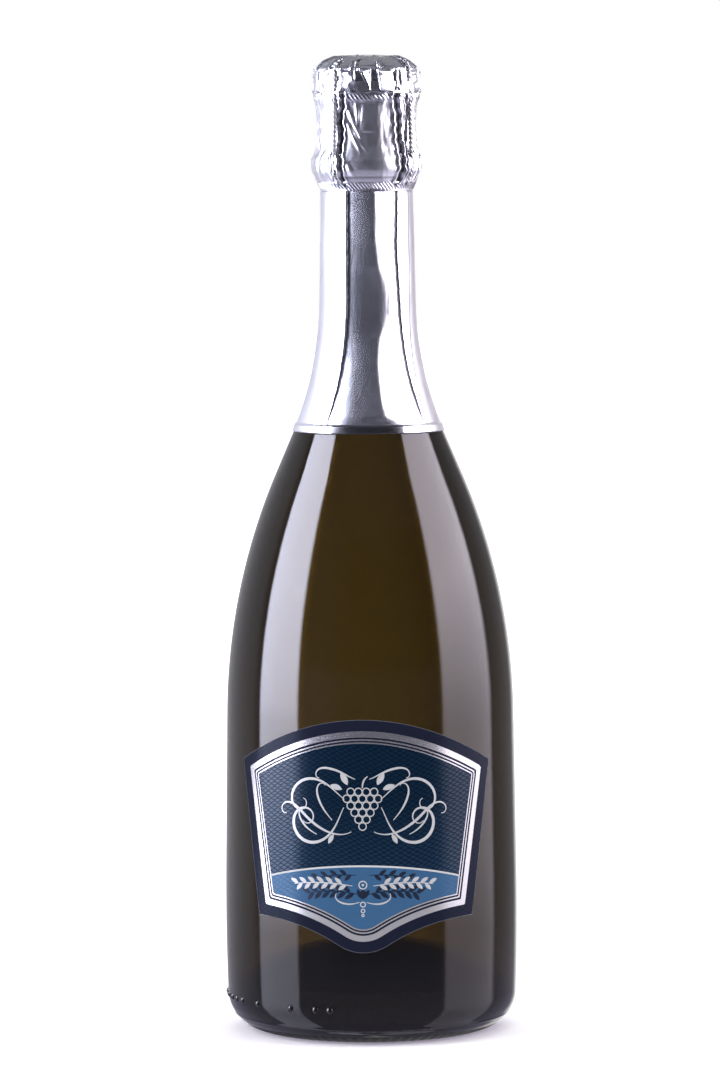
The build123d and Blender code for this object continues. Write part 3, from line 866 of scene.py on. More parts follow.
def scroll(start, heading, length, bends, steps=72):
    """A curl on the paper, whose bends in degrees a millimetre go from first over middle to last."""
    points = [start]
    angle = radians(heading)
    step = length / steps
    for share in np.linspace(0, 1, steps):
        early, late = max(0, 1 - 2 * share), max(0, 2 * share - 1)
        bend = bends[1] + (bends[0] - bends[1]) * early ** 2 + (bends[2] - bends[1]) * late ** 2
        angle += radians(bend) * step
        points.append((points[-1][0] + cos(angle) * step, points[-1][1] + sin(angle) * step))
    return np.array(points)


def stroke(points, thin, thick):
    """A stroke that starts and ends thin."""
    return points, thin + (thick - thin) * np.sin(np.linspace(0, pi, len(points))) ** 1.5


def leaf(root, heading, length, half_width):
    """A filled pointed leaf as a stroke along its rib."""
    points = scroll(root, heading, length, (3, -4, 3), 14)
    return points, half_width * np.sin(np.linspace(0, pi, len(points))) ** 0.8


def grape(centre, radius):
    turn = np.radians(np.arange(0, 361, 12))
    points = np.stack([centre[0] + radius * np.cos(turn), centre[1] + radius * np.sin(turn)], axis=1)
    return points, np.full(len(points), outline_stroke)


def both_sides(strokes):
    return strokes + [(points * (-1, 1), widths) for points, widths in strokes]


def bunch(top, radius):
    """Grapes in rows that get shorter downwards."""
    return [grape((radius * 2.1 * (number - (count - 1) / 2), top - row * radius * 1.85), radius)
            for row, count in enumerate((4, 5, 4, 3, 2, 1)) for number in range(count)]


def sprig(root, heading, length, bend, leaves, size):
    """A stem with leaves on alternate sides."""
    stem = scroll(root, heading, length, (bend, bend, bend), 40)
    strokes = [stroke(stem, 0.1, 0.2)]
    for number in range(leaves):
        place = 4 + int(number * 36 / leaves)
        way = degrees(atan2(*(stem[place + 1] - stem[place])[::-1]))
        side = 38 if number % 2 else -38
        strokes.append(leaf(tuple(stem[place]), way + side, size, size * 0.2))
    return strokes


# Scrolls beside the grapes: start, heading, length, bends and thickness, and their leaves
scrolls = (((5.8, 74.5), -62, 42, (-3, 9, 34), 0.5), ((5.6, 77.0), 35, 33, (4, -8, -38), 0.42),
           ((3.5, 67.0), -32, 30, (10, 2, -48), 0.4), ((9.5, 70.5), 48, 15, (0, 4, 62), 0.32),
           ((2.2, 83.2), 18, 16, (6, -4, -62), 0.34), ((14.5, 66.0), 24, 12, (2, 6, 70), 0.28))
scroll_leaves = (((4.6, 81.4), 62, 4.2, 0.95), ((6.3, 80.0), 22, 4.0, 0.85), ((9.0, 66.2), -58, 3.4, 0.7))
# Rings in the middle of the lower field: height and radius
foot_rings = ((50.6, 1.2), (50.6, 0.2), (44.6, 0.75), (42.6, 0.55), (41.2, 0.35))


def light_strokes():
    """The scrolls with their grapes, and under them the sprigs, tails and rings of the foot."""
    curls = [stroke(scroll(*route), 0.12, thick) for *route, thick in scrolls]
    curls += [leaf(*place) for place in scroll_leaves]
    stalk = stroke(scroll((0.0, 80.4), 88, 4.2, (0, -14, -30), 20), 0.16, 0.26)
    sprigs = both_sides(sprig((3.2, 50.3), 10, 19, -1.0, 12, 3.0))
    tails = both_sides([stroke(scroll((1.1, 45.3), -20, 9.5, (4, 8, 62)), 0.1, 0.26)])
    rings = [grape((0.0, z), r) for z, r in foot_rings]
    return both_sides(curls) + bunch(79.3, 1.15) + [stalk] + sprigs + rings[:2] + tails + rings[2:]


def dark_strokes():
    side = sprig((1.0, 47.6), 14, 17, -1.6, 12, 3.4) + sprig((2.0, 53.6), 4, 15, -1.4, 9, 2.8)
    return both_sides(side) + [leaf((0, 46.2), heading, 3.6, 0.7) for heading in (90, 58, 122)]


def printed(name, strokes, lift):
    """Flat strokes just over the face of the label."""
    vertices, faces = [], []
    for points, widths in strokes:
        way = directions(points)
        aside = np.stack([-way[:, 1], way[:, 0]], axis=1) * widths[:, None]
        start = len(vertices)
        vertices += [place for pair in zip(points + aside, points - aside) for place in pair]
        faces += [(low, low + 1, low + 3, low + 2) for low in range(start, len(vertices) - 2, 2)]
    return new_object(name, on_label(vertices, label_thickness + lift), faces)


def make_label():
    dress(label_sheet(), "bottle", "label_paper", label_material(), "front_label")
    silver = print_material("silver_ink", (0.62, 0.62, 0.66), 0.25)
    dress(printed("ornament_silver", light_strokes(), print_lift), "bottle", "label_paper", silver)
    blue = print_material("dark_ink", (0.004, 0.013, 0.04), 0.0)
    dress(printed("ornament_blue", dark_strokes(), dark_print_lift), "bottle", "label_paper", blue)


# Foil

def foil_row(seen, radii, height, shade, dull):
    """A ring of foil points, from azimuths as the camera sees them."""
    return np.column_stack([around(radii, seen + view_turn, height), shade, dull])


def inside_row(seen, radius, height):
    return foil_row(seen, np.full(len(seen), radius), height, 0 * seen, 0 * seen)


def columns(count):
    return np.linspace(-180, 180, count, endpoint=False)


# The four folded flaps of the skirt: a crisp edge and a soft one, each by height and azimuth
flaps = (
    (((188, -35.5), (191.8, -34.5), (204.5, -29), (215, -26), (228, -24), (260, -24.5)),
     ((188, -37), (204.5, -37), (228, -38.5), (260, -39))),
    (((188, 50), (191.8, 49.5), (204.5, 45), (215, 42.5), (228, 40), (245, 36.5), (260, 39)),
     ((188, 52), (204.5, 55), (228, 59), (260, 61))),
    (((188, 139), (228, 134), (260, 133)), ((188, 142), (228, 151), (260, 155))),
    (((188, -124), (228, -132), (260, -133)), ((188, -121), (228, -114), (260, -111))),
)
# Blunt ridges by height and azimuth, with a flat facet from each to facet_edge
skirt_ridge = ((188, 13), (192, 13), (197, 10), (209, 7.5), (217, 10), (225, 21), (231, 19.5),
               (239, 10), (247, 7), (262.5, 6.5))
hood_ridge = ((263, 22), (269, 20), (272, 17.5), (275, 19.5), (278, 22), (281, 17.5), (284.5, 14.5),
              (288.5, 16), (293, 21))
hood_ridge_root = -27
facet_edge = 29.5
facet_limit = 60
ridge_round = 0.2


def flap_relief(seen, radius, height):
    """How far the flaps stand off, and painted shade along each crisp edge and each soft edge."""
    relief, dark = 0 * seen, 0 * seen
    strength = smooth(height, skirt_bottom + 1, skirt_bottom + 12)
    wave = 0.06 * sin(height * 1.1) + 0.05 * sin(height * 2.7)
    reach = 0.22 + 0.38 * strength
    for crisp, soft in flaps:
        near, far = along(crisp, height), along(soft, height)
        into = np.sign(far - near) * np.radians(apart(seen, near)) * radius
        width = radians(abs(far - near)) * radius
        stand = smooth(into + wave, -0.14, 0.1) * (1 - smooth(into, width - 0.7, width + 0.25))
        crevice = bell(into + wave + 0.7 * reach, reach)
        relief = np.maximum(relief, stand * (0.75 + 0.25 * np.cos(pi * into / (width + 0.5))))
        relief = relief - 0.35 * crevice
        # Painted shade in the crevice under each crisp edge and along each soft edge
        far_line = 0.6 * strength * bell(into - width - 0.1, 0.16)
        dark = np.maximum.reduce([dark, (0.78 + 0.22 * strength) * crevice, far_line])
    return flap_thickness * relief, dark


def ridge_relief(seen, radius, height, line, root):
    """The foil stands off in a blunt ridge, flat to its right, where it leaves the round."""
    top = along(line, height)
    facet = radius / np.cos(np.radians(np.clip(facet_edge - seen, 0, facet_limit))) - radius
    crest = radius / cos(radians(facet_edge - top)) - radius
    share = apart(seen, root) / (top - root)
    plane = crest * np.sign(share) * np.abs(share) ** 1.6
    lowest = -ridge_round * np.logaddexp(-facet / ridge_round, -plane / ridge_round)
    return np.where(np.abs(seen) < facet_limit, np.clip(lowest, 0, None), 0)


def skirt_row(seen, height):
    """One ring of the skirt's outside."""
    radius = wall_radius(height, foil_gap + foil_thickness)
    root = along(flaps[0][0], height) + 1.5
    ridge = ridge_relief(seen, radius, height, skirt_ridge, root) * smooth(height, hem_top, hem_top + 3)
    folds, dark = flap_relief(seen, radius, height)
    aside = smooth(np.abs(seen), 34, 58)
    slack = 0.2 * aside * smooth(rough(seen, height, 1.6, 24.0, 3.7), -0.1, 0.7)
    creases = 0.05 * np.abs(rough(seen, height, 2.6, 30.0, 9.1))
    creases = creases + 0.012 * rough(seen, height, 9.0, 6.0, 2.6)
    inside_hem = 1 - smooth(height, hem_top - 0.3, hem_top)
    hem = (hem_stand + hem_flare * np.clip((height - skirt_bottom) / hem_height, 0, 1)) * inside_hem
    middle = 1 - smooth(np.abs(seen + 1), 27, 30)
    # Painted shade: the hem band darkened over the front, a dark line along its top, and the flaps' dark
    # lines
    shade = dark + (0.8 * inside_hem + 0.5 * bell(height - hem_top - 0.1, 0.2)) * middle
    over_foot = smooth(height, skirt_bottom, skirt_bottom + 8)
    relief = hem + ridge + (folds + creases + slack) * over_foot
    return foil_row(seen, radius + relief, height, shade, aside)


def make_skirt():
    seen = columns(skirt_columns)
    heights = np.linspace(skirt_bottom, tear_height, 200)
    rows = [skirt_row(seen, height) for height in heights]
    rows += [inside_row(seen, wall_radius(height, foil_gap), height) for height in heights[::-12]]
    skirt = wound_shell("foil_skirt_sheet", rows)
    dress(skirt, "bottle", "foil", foil_material("foil_smooth", 0.21), "foil_skirt")


# Heights over the base and radii of the hood between the wires, and of the disc over it
hood_profile = ((262.5, 14.3), (263.6, 14.5), (265.0, 15.1), (266.9, 15.9), (268.8, 17.0), (270.6, 17.2),
                (272.5, 17.1), (274.4, 16.2), (276.3, 15.35), (280.0, 15.3), (283.8, 15.2), (287.5, 15.5),
                (289.4, 15.65), (291.2, 16.2), (293.0, 16.45), (296.5, 16.4))
disc_outline = ((16.75, 292.8), (16.85, 293.4), (16.8, 295.0), (16.7, 296.8), (16.6, 298.3), (16.5, 299.4),
                (16.1, 300.5), (15.2, 301.5), (13.9, 302.5), (12.2, 303.3), (10.3, 303.95), (7.5, 304.45),
                (4.0, 304.75), (0.0, 304.85))

# Creases of the hood: from azimuth and height to azimuth and height, half width, rise
creases = (
    (-25, 290.5, -14, 283, 0.7, 0.4), (-24, 284, -7, 274.5, 0.55, 0.45),
    (-21, 284.5, -3, 275.5, 0.4, -0.35), (-16, 280.5, 1, 274.5, 0.45, 0.4),
    (-12, 291, -10, 282.5, 0.6, 0.35), (-6, 290, -9, 281, 0.45, -0.3),
    (-9, 280.6, 9, 280.4, 0.4, -0.25), (24, 288, 22, 283, 1.4, -0.14), (20, 279, 26, 272, 1.2, -0.12),
    (-24, 273, -14, 266.5, 0.9, 0.35), (8, 287, 4, 276, 1.3, -0.15), (-60, 291, -66, 268, 0.9, 0.4),
    (-50, 288, -44, 270, 0.8, -0.35), (-72, 286, -60, 274, 0.7, 0.3), (70, 292, 64, 268, 0.8, 0.4),
    (60, 289, 68, 277, 0.6, -0.4), (84, 291, 88, 266, 0.9, 0.4), (-84, 290, -78, 268, 0.9, 0.35),
    (58, 280, 64, 266, 0.6, 0.35))

# Deep folds of the hood down its height: half width, strength of the painted shade in the fold, and
# azimuths by height
deep_folds = (
    (0.55, 0.95, ((293.8, -26), (284.6, -30.7), (275.3, -30.7), (269.2, -28.6), (263, -26))),
    (0.22, 0.65, ((292.3, -39), (283, -40), (276.8, -42), (270.7, -39), (264, -40))),
    (0.7, 0.95, ((294.4, 34.5), (289.2, 35.5), (283, 40.8), (278.4, 39.2), (275.3, 42.3), (270.7, 40.4),
                 (263, 38))),
    (0.32, 0.85, ((294.4, 44.3), (289.2, 51.3), (284.6, 52.7), (279.9, 50.9), (275.3, 47.1), (266, 46))),
    (0.4, 0.9, ((287, 72), (283, 76), (278.4, 78), (274.7, 75), (270.7, 72), (265, 70))),
    (0.25, 0.6, ((292, 62), (280, 59), (272, 66), (264, 60))),
    (0.5, 0.8, ((294, 132), (280, 136), (270, 131), (263, 133))),
    (0.5, 0.8, ((294, -128), (282, -124), (272, -127), (263, -126))),
    (0.4, 0.7, ((294, -172), (280, -168), (268, -174), (263, -170))),
)


def rounded(line, reach):
    """A line of height and value pairs made dense, with its corners rounded over a reach."""
    heights = np.arange(line[0][0], line[-1][0] + 0.05, 0.1)
    steps = np.arange(-3 * reach, 3 * reach + 0.05, 0.1)
    weights = bell(steps, reach)
    return list(zip(heights, np.interp(heights[:, None] + steps, *zip(*line)) @ weights / weights.sum()))


def crease_relief(seen, radius, height):
    """Drawn-in and raised creases, each along a line between two places on the hood."""
    relief = 0 * seen
    places = np.stack([np.radians(seen) * radius, np.full(len(seen), height)], axis=1)
    for first_azimuth, first_height, last_azimuth, last_height, width, rise in creases:
        start = np.array([radians(first_azimuth) * radius, first_height])
        way = np.array([radians(last_azimuth) * radius, last_height]) - start
        share = np.clip(((places - start) @ way) / (way @ way), 0, 1)
        away = np.linalg.norm(places - start - share[:, None] * way, axis=1)
        relief = relief + rise * bell(away, width) * np.sin(pi * np.clip(share, 0.08, 0.92))
    return relief


def fold_relief(seen, radius, height):
    """The deep folds: a narrow valley between two rounded lips, and painted shade along it."""
    relief, dark = 0 * seen, 0 * seen
    for number, (width, darkness, line) in enumerate(deep_folds):
        top, foot = line[0][0], line[-1][0]
        ends = between(height, foot - 1, foot + 1.5, top - 1.5, top + 1)
        sway = 0.9 * sin(height * 0.7 + number) + 0.6 * sin(height * 1.9 + 2 * number)
        aside = np.radians(apart(seen, along(line, height) + sway)) * radius
        lips, valley = bell(np.abs(aside) - 2.1 * width, width), bell(aside, width)
        relief = relief + ends * (0.4 * lips - 0.55 * valley) * min(1.0, width * 2)
        dark = np.maximum(dark, ends * darkness * bell(aside, 0.95 * width, 4))
    return relief, dark


def tick_relief(seen, radius, height, middle, reach, pitch):
    """A row of short slanted ticks round the foil."""
    phase = (np.radians(seen) * radius + (height - middle) * 0.8) / pitch
    return bell(height - middle, reach, 4) * np.clip(np.sin(2 * pi * phase), 0, 1)


def leg_relief(seen, radius):
    """Ridges of the foil over the four legs of the cage."""
    legs = first_leg_azimuth - view_turn + np.arange(leg_count) * 360 / leg_count
    return sum(bell(np.radians(apart(seen, leg)) * radius, 1.1) for leg in legs)


def side_dullness(seen):
    return smooth(np.abs(seen), 38, 60)


def hood_row(seen, height, radius):
    """One ring of the hood's outside."""
    loose = smooth(height, tear_height + 0.5, tear_height + 4)
    sides = 0.36 + 0.64 * smooth(np.abs(seen - 4), 30, 48)
    folds = sides * (0.34 * rough(seen, height, 3.4, 11.0, 1.3, 3)
                     + 0.22 * np.abs(rough(seen, height, 6.0, 6.5, 5.9)))
    ridge = ridge_relief(seen, radius, height, hood_ridge, hood_ridge_root)
    deep, dark = fold_relief(seen, radius, height)
    forms = folds + ridge + deep + 0.3 * leg_relief(seen, radius) + crease_relief(seen, radius, height)
    upper = tick_relief(seen, radius, height, 291.6, 0.9, 1.25)
    lower = tick_relief(seen, radius, height, 264.2, 1.1, 1.1)
    ticks = 0.16 * upper + 0.2 * lower + 0.03 * rough(seen, height, 5.0, 3.0, 8.3)
    rim = bell(height - 266.8, 0.45) * (1 - smooth(np.abs(seen - 4), 26, 32))
    panel = (1 - smooth(np.abs(seen - 3), 22, 30)) * between(height, 266, 270, 288, 291)
    # Painted shade: in the deep folds, on the tick rows, in a band low on the front, and over the front
    # panel
    shade = np.maximum.reduce([dark, 0.5 * upper, 0.7 * lower, 0.5 * rim, 0.32 * panel])
    dull = np.maximum(panel, side_dullness(seen))
    return foil_row(seen, radius + loose * forms + ticks, height, shade, dull)


def make_hood():
    seen = columns(foil_columns)
    heights = np.linspace(tear_height + 0.02, hood_profile[-1][0], 240)
    profile = rounded(hood_profile, 0.8)
    rows = [hood_row(seen, height, along(profile, height)) for height in heights]
    rows += [inside_row(seen, along(profile, height) - hood_fold_depth, height)
             for height in heights[::-10]]
    hood = wound_shell("foil_hood_sheet", rows)
    dress(hood, "hood", "foil", foil_material("foil_creased", 0.19), "foil_hood")


# Hollows in the gathered edge of the top disc: azimuth and half width at its foot, then at its brow
hollows = ((-4.7, 8.3, -10, 3.4), (9.5, 5.4, 7.9, 3.7), (37.2, 2.6, 37.2, 2.4), (54, 2.6, 50, 2.2),
           (-36, 3, -33, 3), (80, 4, 77, 3), (-62, 3.5, -60, 3), (-84, 4, -86, 3), (104, 5, 101, 4),
           (127, 4, 129, 4), (150, 5, 147, 4), (175, 4.5, 177, 4), (-112, 4.5, -109, 4), (-136, 4, -139, 4),
           (-158, 5, -155, 4))
# Flat swags between them: left and right azimuth at the foot, then at the brow, and rise to the right
swags = ((3.2, 4.2, -6.5, 4.2, 1.7), (15.0, 34.0, 11.6, 34.0, -1.5))
pinches = (-72, -17.5, -14.5, 13.5, 16, 47, 74, 118, 161, -157, -113, -44)


def disc_relief(seen, radius, height):
    """Swags with hollows between them, a scalloped brow, pinched creases over the crown, and painted shade.
    """
    up = np.clip((height - 294) / 6, 0, 1)
    tall = between(height, 293.4, 294.6, 299.4, 300.6)
    sink, facets = 0 * seen, 0 * seen
    for foot, foot_width, brow, brow_width in hollows:
        near = bell(apart(seen, blend(foot, brow, up)), blend(foot_width, brow_width, up), 6)
        sink = np.maximum(sink, near * tall)
    for foot_left, foot_right, brow_left, brow_right, rise in swags:
        left, right = blend(foot_left, brow_left, up), blend(foot_right, brow_right, up)
        share = (seen - left) / (right - left)
        facets = facets + tall * rise * (share - 0.5) * ((share > 0) & (share < 1))
    scallops = 0.35 * bell(height - 299.6 - 0.6 * np.cos(np.radians(seen) * 9), 0.6)
    drape = 0.6 * (1 - smooth(height, 298.6, 301.2)) * rough(seen, height, 3.2, 4.0, 2.2)
    relief = scallops + drape * (facets == 0) - 0.6 * sink + facets
    crown = smooth(height, 299.5, 301) * smooth(radius, 3.0, 9.0)
    for azimuth in pinches:
        aside = np.radians(apart(seen, azimuth)) * radius
        pinch = bell(aside, 0.4) - 0.6 * bell(aside - 0.9, 0.45)
        relief = relief + 0.6 * crown * smooth(radius, 6.0, 11.0) * pinch
    relief = relief + 0.3 * crown * rough(seen, radius, 0.12 * radius, 5.0, 7.4)
    # Painted shade in the hollows and in a line along the disc's lower edge
    dark = 0.45 * sink * smooth(sink, 0.2, 0.7)
    return relief * min(1, radius / 3), np.maximum(dark, 0.55 * bell(height - 293.3, 0.4))


def make_top_disc():
    seen = columns(foil_columns)
    outline = divided(disc_outline, disc_step)
    rows = []
    for (radius, height), (inward, up) in zip(outline, directions(outline)):
        relief, dark = disc_relief(seen, radius, height)
        radii = np.maximum(radius + relief * up, 0.0)
        rows.append(foil_row(seen, radii, height - relief * inward, dark, side_dullness(seen)))
    for radius, height in disc_outline[::-1]:
        depth = 0.6 * smooth(height, 299, 302)
        rows.append(inside_row(seen, max(radius - disc_fold_depth, 0.0), height - depth))
    disc = wound_shell("foil_top_sheet", rows)
    dress(disc, "hood", "foil", foil_material("foil_top", 0.19), "foil_top_disc")


# Stopper and cage

def cork_outline():
    low = cork_bottom + 2 * cork_disc_thickness
    neck = (cork_neck_radius, bottle_height)
    points = [(0.0, low), (cork_radius, low), (cork_radius, bottle_height), neck]
    points += tangent_arc(neck, (cork_head_radius, bottle_height + cork_neck_rise), (0.35, 0.94), 8)[1:]
    points += arc(cork_head_radius - cork_head_edge, cork_top - cork_head_edge, cork_head_edge, 0, 90, 10)
    return points + [(0.0, cork_top)]


def make_cork():
    body = lathe("cork", divided(cork_outline(), cork_step), cork_segments, None, 50)
    dress(body, "stopper", "agglomerated_cork", granular_cork_material(), "cork_body")
    material = natural_cork_material()
    low = cork_bottom
    for name, chamfer in cork_disc_chamfers.items():
        high = low + cork_disc_thickness
        outline = [(0.0, low), (cork_radius - chamfer, low), (cork_radius, low + chamfer),
                   (cork_radius, high), (0.0, high)]
        disc = lathe(f"cork_disc_{name}_cut", divided(outline, cork_step), cork_segments, None, 40)
        dress(disc, "stopper", "natural_cork", material, f"cork_disc_{name}")
        low = high


def cap_outline():
    outer = cap_edge + cap_thickness
    rim = cap_edge_height + cap_edge - cap_rim_drop
    crown, half_way = cork_top + cap_dome_rise, cork_top + 0.75 * cap_dome_rise
    dome = three_point_arc((0, crown), (cap_dome_radius / 2, half_way), (cap_dome_radius, cork_top), 12)
    inside = dome + arc(cap_edge_radius, cap_edge_height, cap_edge, 90, 0, 10)
    outside = [(cap_edge_radius + outer, rim)] + arc(cap_edge_radius, cap_edge_height, outer, 0, 90, 10)
    outside += [(r, z + cap_thickness) for r, z in dome[::-1]]
    return inside + [(cap_edge_radius + cap_edge, rim)] + outside


def make_cap():
    cap = lathe("cap", divided(cap_outline(), cap_step), cork_segments, None, 40)
    dress(cap, "cage", "cap_metal", cap_material(), "cap_plaque")


def leg_line():
    """The centreline of a leg in radius and height, from the frame ring to its eye."""
    under = (wire_ring_radius - wire_ring_edge, wire_ring_bottom + wire_ring_edge)
    points = [(frame_ring_radius, cap_edge_height + leg_round_cap)]
    points += arc(cap_edge_radius, cap_edge_height, leg_round_cap, 90, 0, 12)
    points += [(leg_at_ring, wire_ring_top), (leg_at_ring, under[1])]
    points += arc(*under, leg_at_ring - under[0], 0, -leg_tuck_angle, 8)[1:]
    radius, height = points[-1]
    share = 1 - eye_radius / hypot(belt_radius - radius, belt_height - height)
    points.append((blend(radius, belt_radius, share), blend(height, belt_height, share)))
    return divided(points, wire_step)


def twisted_pair(line, azimuth, wire, turns):
    """Two strands that wind round each other along a line in radius and height."""
    line = np.array(line)
    way = directions(line)
    gone = np.concatenate([[0], np.cumsum(np.linalg.norm(np.diff(line, axis=0), axis=1))])
    strands = []
    for side in (0, pi):
        angle = 2 * pi * turns * gone / gone[-1] + side
        square = np.sin(angle) * wire / 2
        strands.append(facing(azimuth, line[:, 0] + square * way[:, 1], np.cos(angle) * wire / 2,
                              line[:, 1] - square * way[:, 0]))
    return strands


def ring_path(radius, height, steps=120):
    return around(radius, np.linspace(0, 360, steps, endpoint=False), height)


def make_frame_wire(material):
    """The upper wire: its ring over the cap and the twisted legs, each with an eye."""
    line = leg_line()
    length = sum(hypot(b[0] - a[0], b[1] - a[1]) for a, b in zip(line, line[1:]))
    turn = np.radians(np.arange(0, 360, 18))
    paths, closed = [ring_path(frame_ring_radius, frame_ring_height)], {0}
    for azimuth in first_leg_azimuth + np.arange(leg_count) * 360 / leg_count:
        paths += twisted_pair(line, azimuth, frame_wire, round(length / twist_pitch * 2))
        closed.add(len(paths))
        paths.append(facing(azimuth, belt_radius + eye_radius * np.cos(turn), 0,
                            belt_height + eye_radius * np.sin(turn)))
    dress(wires("cage_upper_wire", paths, frame_wire, closed), "cage", "wire", material, "cage_frame")


def make_belt_wire(material):
    """The lower wire under the bead, and its two ends on their way out to the pull loop."""
    paths = [ring_path(belt_radius, belt_height)]
    reach = loop_radius - belt_wire - wire_gap
    for side in (-1, 1):
        azimuth = loop_azimuth + degrees(side * (belt_wire / 2 + wire_gap) / belt_radius)
        paths.append(facing(azimuth, (belt_radius, reach), 0, belt_height))
    dress(wires("cage_lower_wire", paths, belt_wire, {0}), "cage", "wire", material, "cage_belt")


def make_pull_loop(material):
    """The twisted shank of the pull loop and its oval ring."""
    shank = divided([(loop_radius, belt_height), (loop_radius, belt_height + loop_shank)], 0.2)
    turn = np.radians(np.arange(0, 360, 7.5))
    half, tall = (loop_width - belt_wire) / 2, (loop_length - loop_width) / 2
    centre = belt_height + loop_shank + (loop_length - belt_wire) / 2
    heights = centre + half * np.sin(turn) + np.where(np.sin(turn) > 0, tall, -tall)
    paths = twisted_pair(shank, loop_azimuth, belt_wire, 1.0)
    paths.append(facing(loop_azimuth, loop_radius, half * np.cos(turn), heights))
    dress(wires("pull_loop_wire", paths, belt_wire, {2}), "pull_loop", "wire", material, "cage_pull_loop")


def make_cage():
    material = wire_material()
    make_frame_wire(material)
    make_belt_wire(material)
    make_pull_loop(material)


# Studio. Its tent of screens and strip lights shows only in metal and glass, and heights on it
# are over the floor that the bottle stands on.

floor_parts = {"floor_near": (0.0, 120.0), "floor": (120.0, 6000.0)}
floor_colour = (0.92, 0.92, 0.9)
floor_glow_colour = (0.84, 0.75, 1.0)
floor_glow_near, floor_glow_far = 0.29, 1.35
floor_glow_reach_m = (0.16, 0.8)
world_light = 0.55

tent_radius = 650.0
tent_heights = (-300.0, 900.0)
tent_pole = 0.002
front_light = np.array((0.12, 0.122, 0.155))
front_glow = np.array((0.1, 0.105, 0.15))
side_lights = (np.array((0.54, 0.53, 0.57)), np.array((0.32, 0.3, 0.31)))
back_light = np.array((1.0, 0.99, 1.0))
ceiling_lights = (np.array((0.12, 0.12, 0.15)), np.array((0.27, 0.27, 0.29)))
ground_light = np.array((0.4, 0.38, 0.5))
strip_top = (780, 820)
strip_heights = (-300.0, -63.0, 80.0, 190.0, 320.0)
# Strip lights: side, colour, azimuths of their soft ends, and levels at strip_heights
strips = ((-1, np.array((12.2, 12.4, 15.0)), (57, 60, 95, 98), (0.08, 0.155, 0.76, 0.9, 1.0)),
          (1, np.array((6.6, 6.1, 6.9)), (56, 60, 106, 112), (0.09, 0.175, 0.45, 0.7, 1.0)))

# Lamps: azimuth, elevation, distance, width, height, and power in watts
lamps = {"key_left": (-62, 28, 1500, 700, 1300, 14), "key_right": (68, 28, 1500, 700, 1300, 10),
         "top": (160, 70, 1500, 1400, 1400, 12)}
lamp_target_m = Vector((0, 0, 0.16))


def floor_material():
    """Pale, with a share of its own light to the camera, so that it shows white."""
    shader = Shader("floor_white", Base_Color=floor_colour, Roughness=0.9)
    away = shader.node("ShaderNodeVectorMath", "Value", {"operation": "LENGTH"}, Vector=shader.place())
    shine = shader.ramp(away, *floor_glow_reach_m) * (floor_glow_far - floor_glow_near) + floor_glow_near
    glow = shader.node("ShaderNodeEmission", Color=floor_glow_colour,
                       Strength=shader.node("ShaderNodeLightPath", "Is Camera Ray") * shine)
    surface = Value(shader, shader.surface.outputs[0])
    shader.feed(shader.output.inputs["Surface"], shader.joined("ShaderNodeAddShader", {}, surface, glow))
    return shader.material


def make_floor():
    """A white floor. Glass sees it only close to the base, and the studio's screens beyond."""
    material = floor_material()
    for name, (inner, outer) in floor_parts.items():
        floor = lathe(name, [(inner, 0.0), (outer, 0.0)], 96)
        floor.data.materials.append(material)
        floor.visible_glossy = False
        floor.visible_transmission = name == "floor_near"


def make_world():
    """White to the camera, to metal and to glass, and dimmer as a light."""
    world = bpy.data.worlds.new("studio")
    bpy.context.scene.world = world
    world.use_nodes = True
    nodes = Nodes(world.node_tree)
    rays = [nodes.node("ShaderNodeLightPath", f"Is {kind} Ray")
            for kind in ("Camera", "Glossy", "Transmission")]
    seen = nodes.maths("MAXIMUM", rays[0], nodes.maths("MAXIMUM", *rays[1:]))
    background = world.node_tree.nodes["Background"]
    nodes.feed(background.inputs["Color"], (1, 1, 1))
    strength = nodes.node("ShaderNodeMapRange", Value=seen, To_Min=world_light, To_Max=1.0)
    nodes.feed(background.inputs["Strength"], strength)


def tent_colour(azimuth, height):
    """Light of the studio's screens and strips, by place on the tent."""
    side = abs(azimuth)
    right = azimuth > 0
    front = (front_light + front_glow * smooth(-azimuth, 14, 45)) * (1 - 0.45 * smooth(height, 150, 190))
    colour = blend(front, side_lights[int(right)], smooth(side, 96, 108))
    colour = blend(colour, ground_light, smooth(-height, 20, 160))
    start = 148 if right else 160
    slant = 1 - 0.011 * np.clip(apart(azimuth, 180), -22, 30)
    colour = blend(colour, back_light * slant, smooth(side, start, start + 14))
    top = 370 if side > 140 else 430
    ceiling = blend(*ceiling_lights, smooth(side, 60, 150))
    colour = blend(colour, ceiling, smooth(height, top, top + 190))
    for sign, light, edges, levels in strips:
        lit = between(sign * azimuth, *edges) * (1 - smooth(height, *strip_top))
        colour = colour + light * lit * np.interp(height, strip_heights, levels)
    return colour


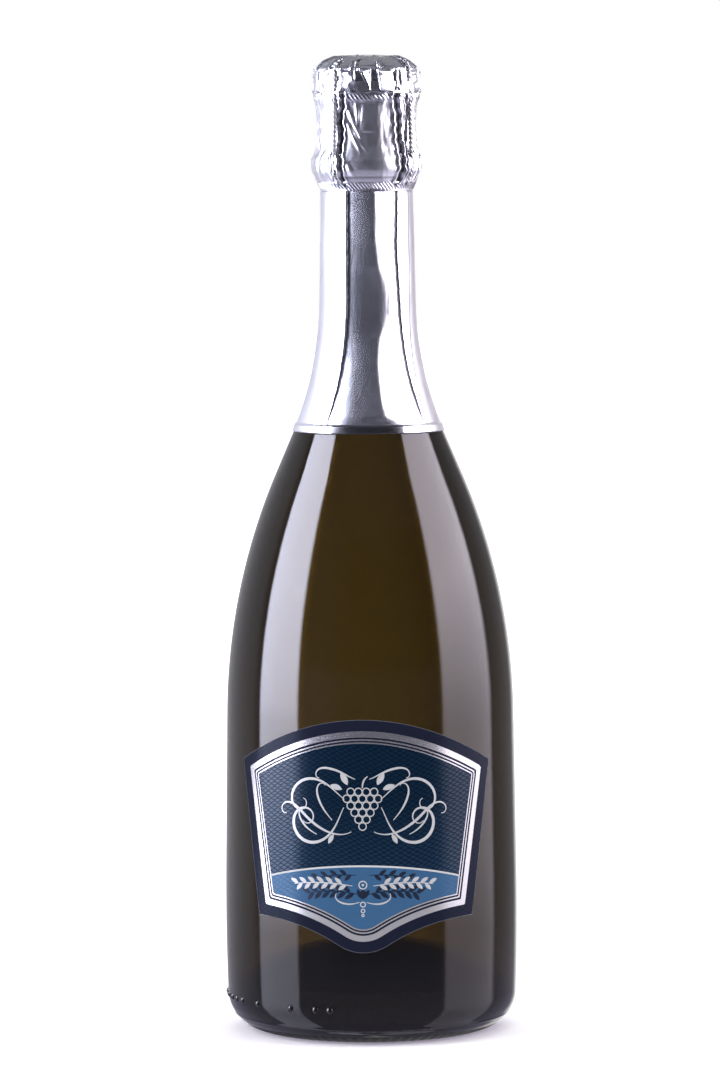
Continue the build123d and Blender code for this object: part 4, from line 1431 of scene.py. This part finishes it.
def make_tent():
    """Screens and strip lights round the bottle that only show in metal and glass."""
    azimuths = np.arange(-180, 180, 1.5)
    heights = np.arange(tent_heights[0], tent_heights[1] + 1, 20.0)
    rows = [(tent_pole, heights[0])] + [(1.0, height) for height in heights] + [(tent_pole, heights[-1])]
    vertices, colours, faces = [], [], []
    count = len(azimuths)
    for number, (share, height) in enumerate(rows):
        if number:
            faces += strip_faces((number - 1) * count, number * count, count)
        vertices += around(share * tent_radius, azimuths + view_turn, height).tolist()
        colours += [(*tent_colour(azimuth, height), 1.0) for azimuth in azimuths]
    tent = new_object("studio_tent", vertices, faces)
    keep(tent, "light", "FLOAT_COLOR", colours)
    shader = Shader("tent_light")
    glow = shader.node("ShaderNodeEmission", Color=shader.attribute("light", "Color"), Strength=1.0)
    shader.feed(shader.output.inputs["Surface"], glow)
    tent.data.materials.append(shader.material)
    tent.visible_camera = tent.visible_diffuse = False
    tent.visible_shadow = tent.visible_volume_scatter = False


def make_lamps():
    """Soft lamps that light the bottle and floor without showing in them."""
    for name, (azimuth, elevation, distance, width, height, power) in lamps.items():
        data = bpy.data.lights.new(name, "AREA")
        data.shape = "RECTANGLE"
        data.size, data.size_y = width * MM, height * MM
        data.energy = power
        lamp = linked(name, data)
        a, e = radians(azimuth + view_turn), radians(elevation)
        back = Vector((sin(a) * cos(e), -cos(a) * cos(e), sin(e)))
        lamp.location = lamp_target_m + back * distance * MM
        lamp.rotation_mode = "QUATERNION"
        lamp.rotation_quaternion = back.to_track_quat("Z", "Y")
        lamp.visible_glossy = lamp.visible_transmission = lamp.visible_camera = False


def make_camera():
    data = bpy.data.cameras.new("camera")
    data.sensor_width = 36.0
    data.lens = focal_px / photo_long_side_px * data.sensor_width
    data.clip_start = 0.05
    data.clip_end = 50.0
    camera = linked("camera", data)
    place = Matrix.Translation((camera_aside * MM, -camera_distance * MM, camera_height * MM))
    tilt = (Matrix.Rotation(radians(90 - camera_pitch), 4, "X")
            @ Matrix.Rotation(radians(camera_roll), 4, "Z"))
    camera.matrix_world = Matrix.Rotation(radians(view_turn), 4, "Z") @ place @ tilt
    bpy.context.scene.camera = camera


bpy.context.scene.view_settings.view_transform = "Standard"
for make in (make_camera, make_world, make_floor, make_tent, make_lamps, make_glass, make_wine, make_label,
             make_skirt, make_hood, make_top_disc, make_cork, make_cap, make_cage):
    make()
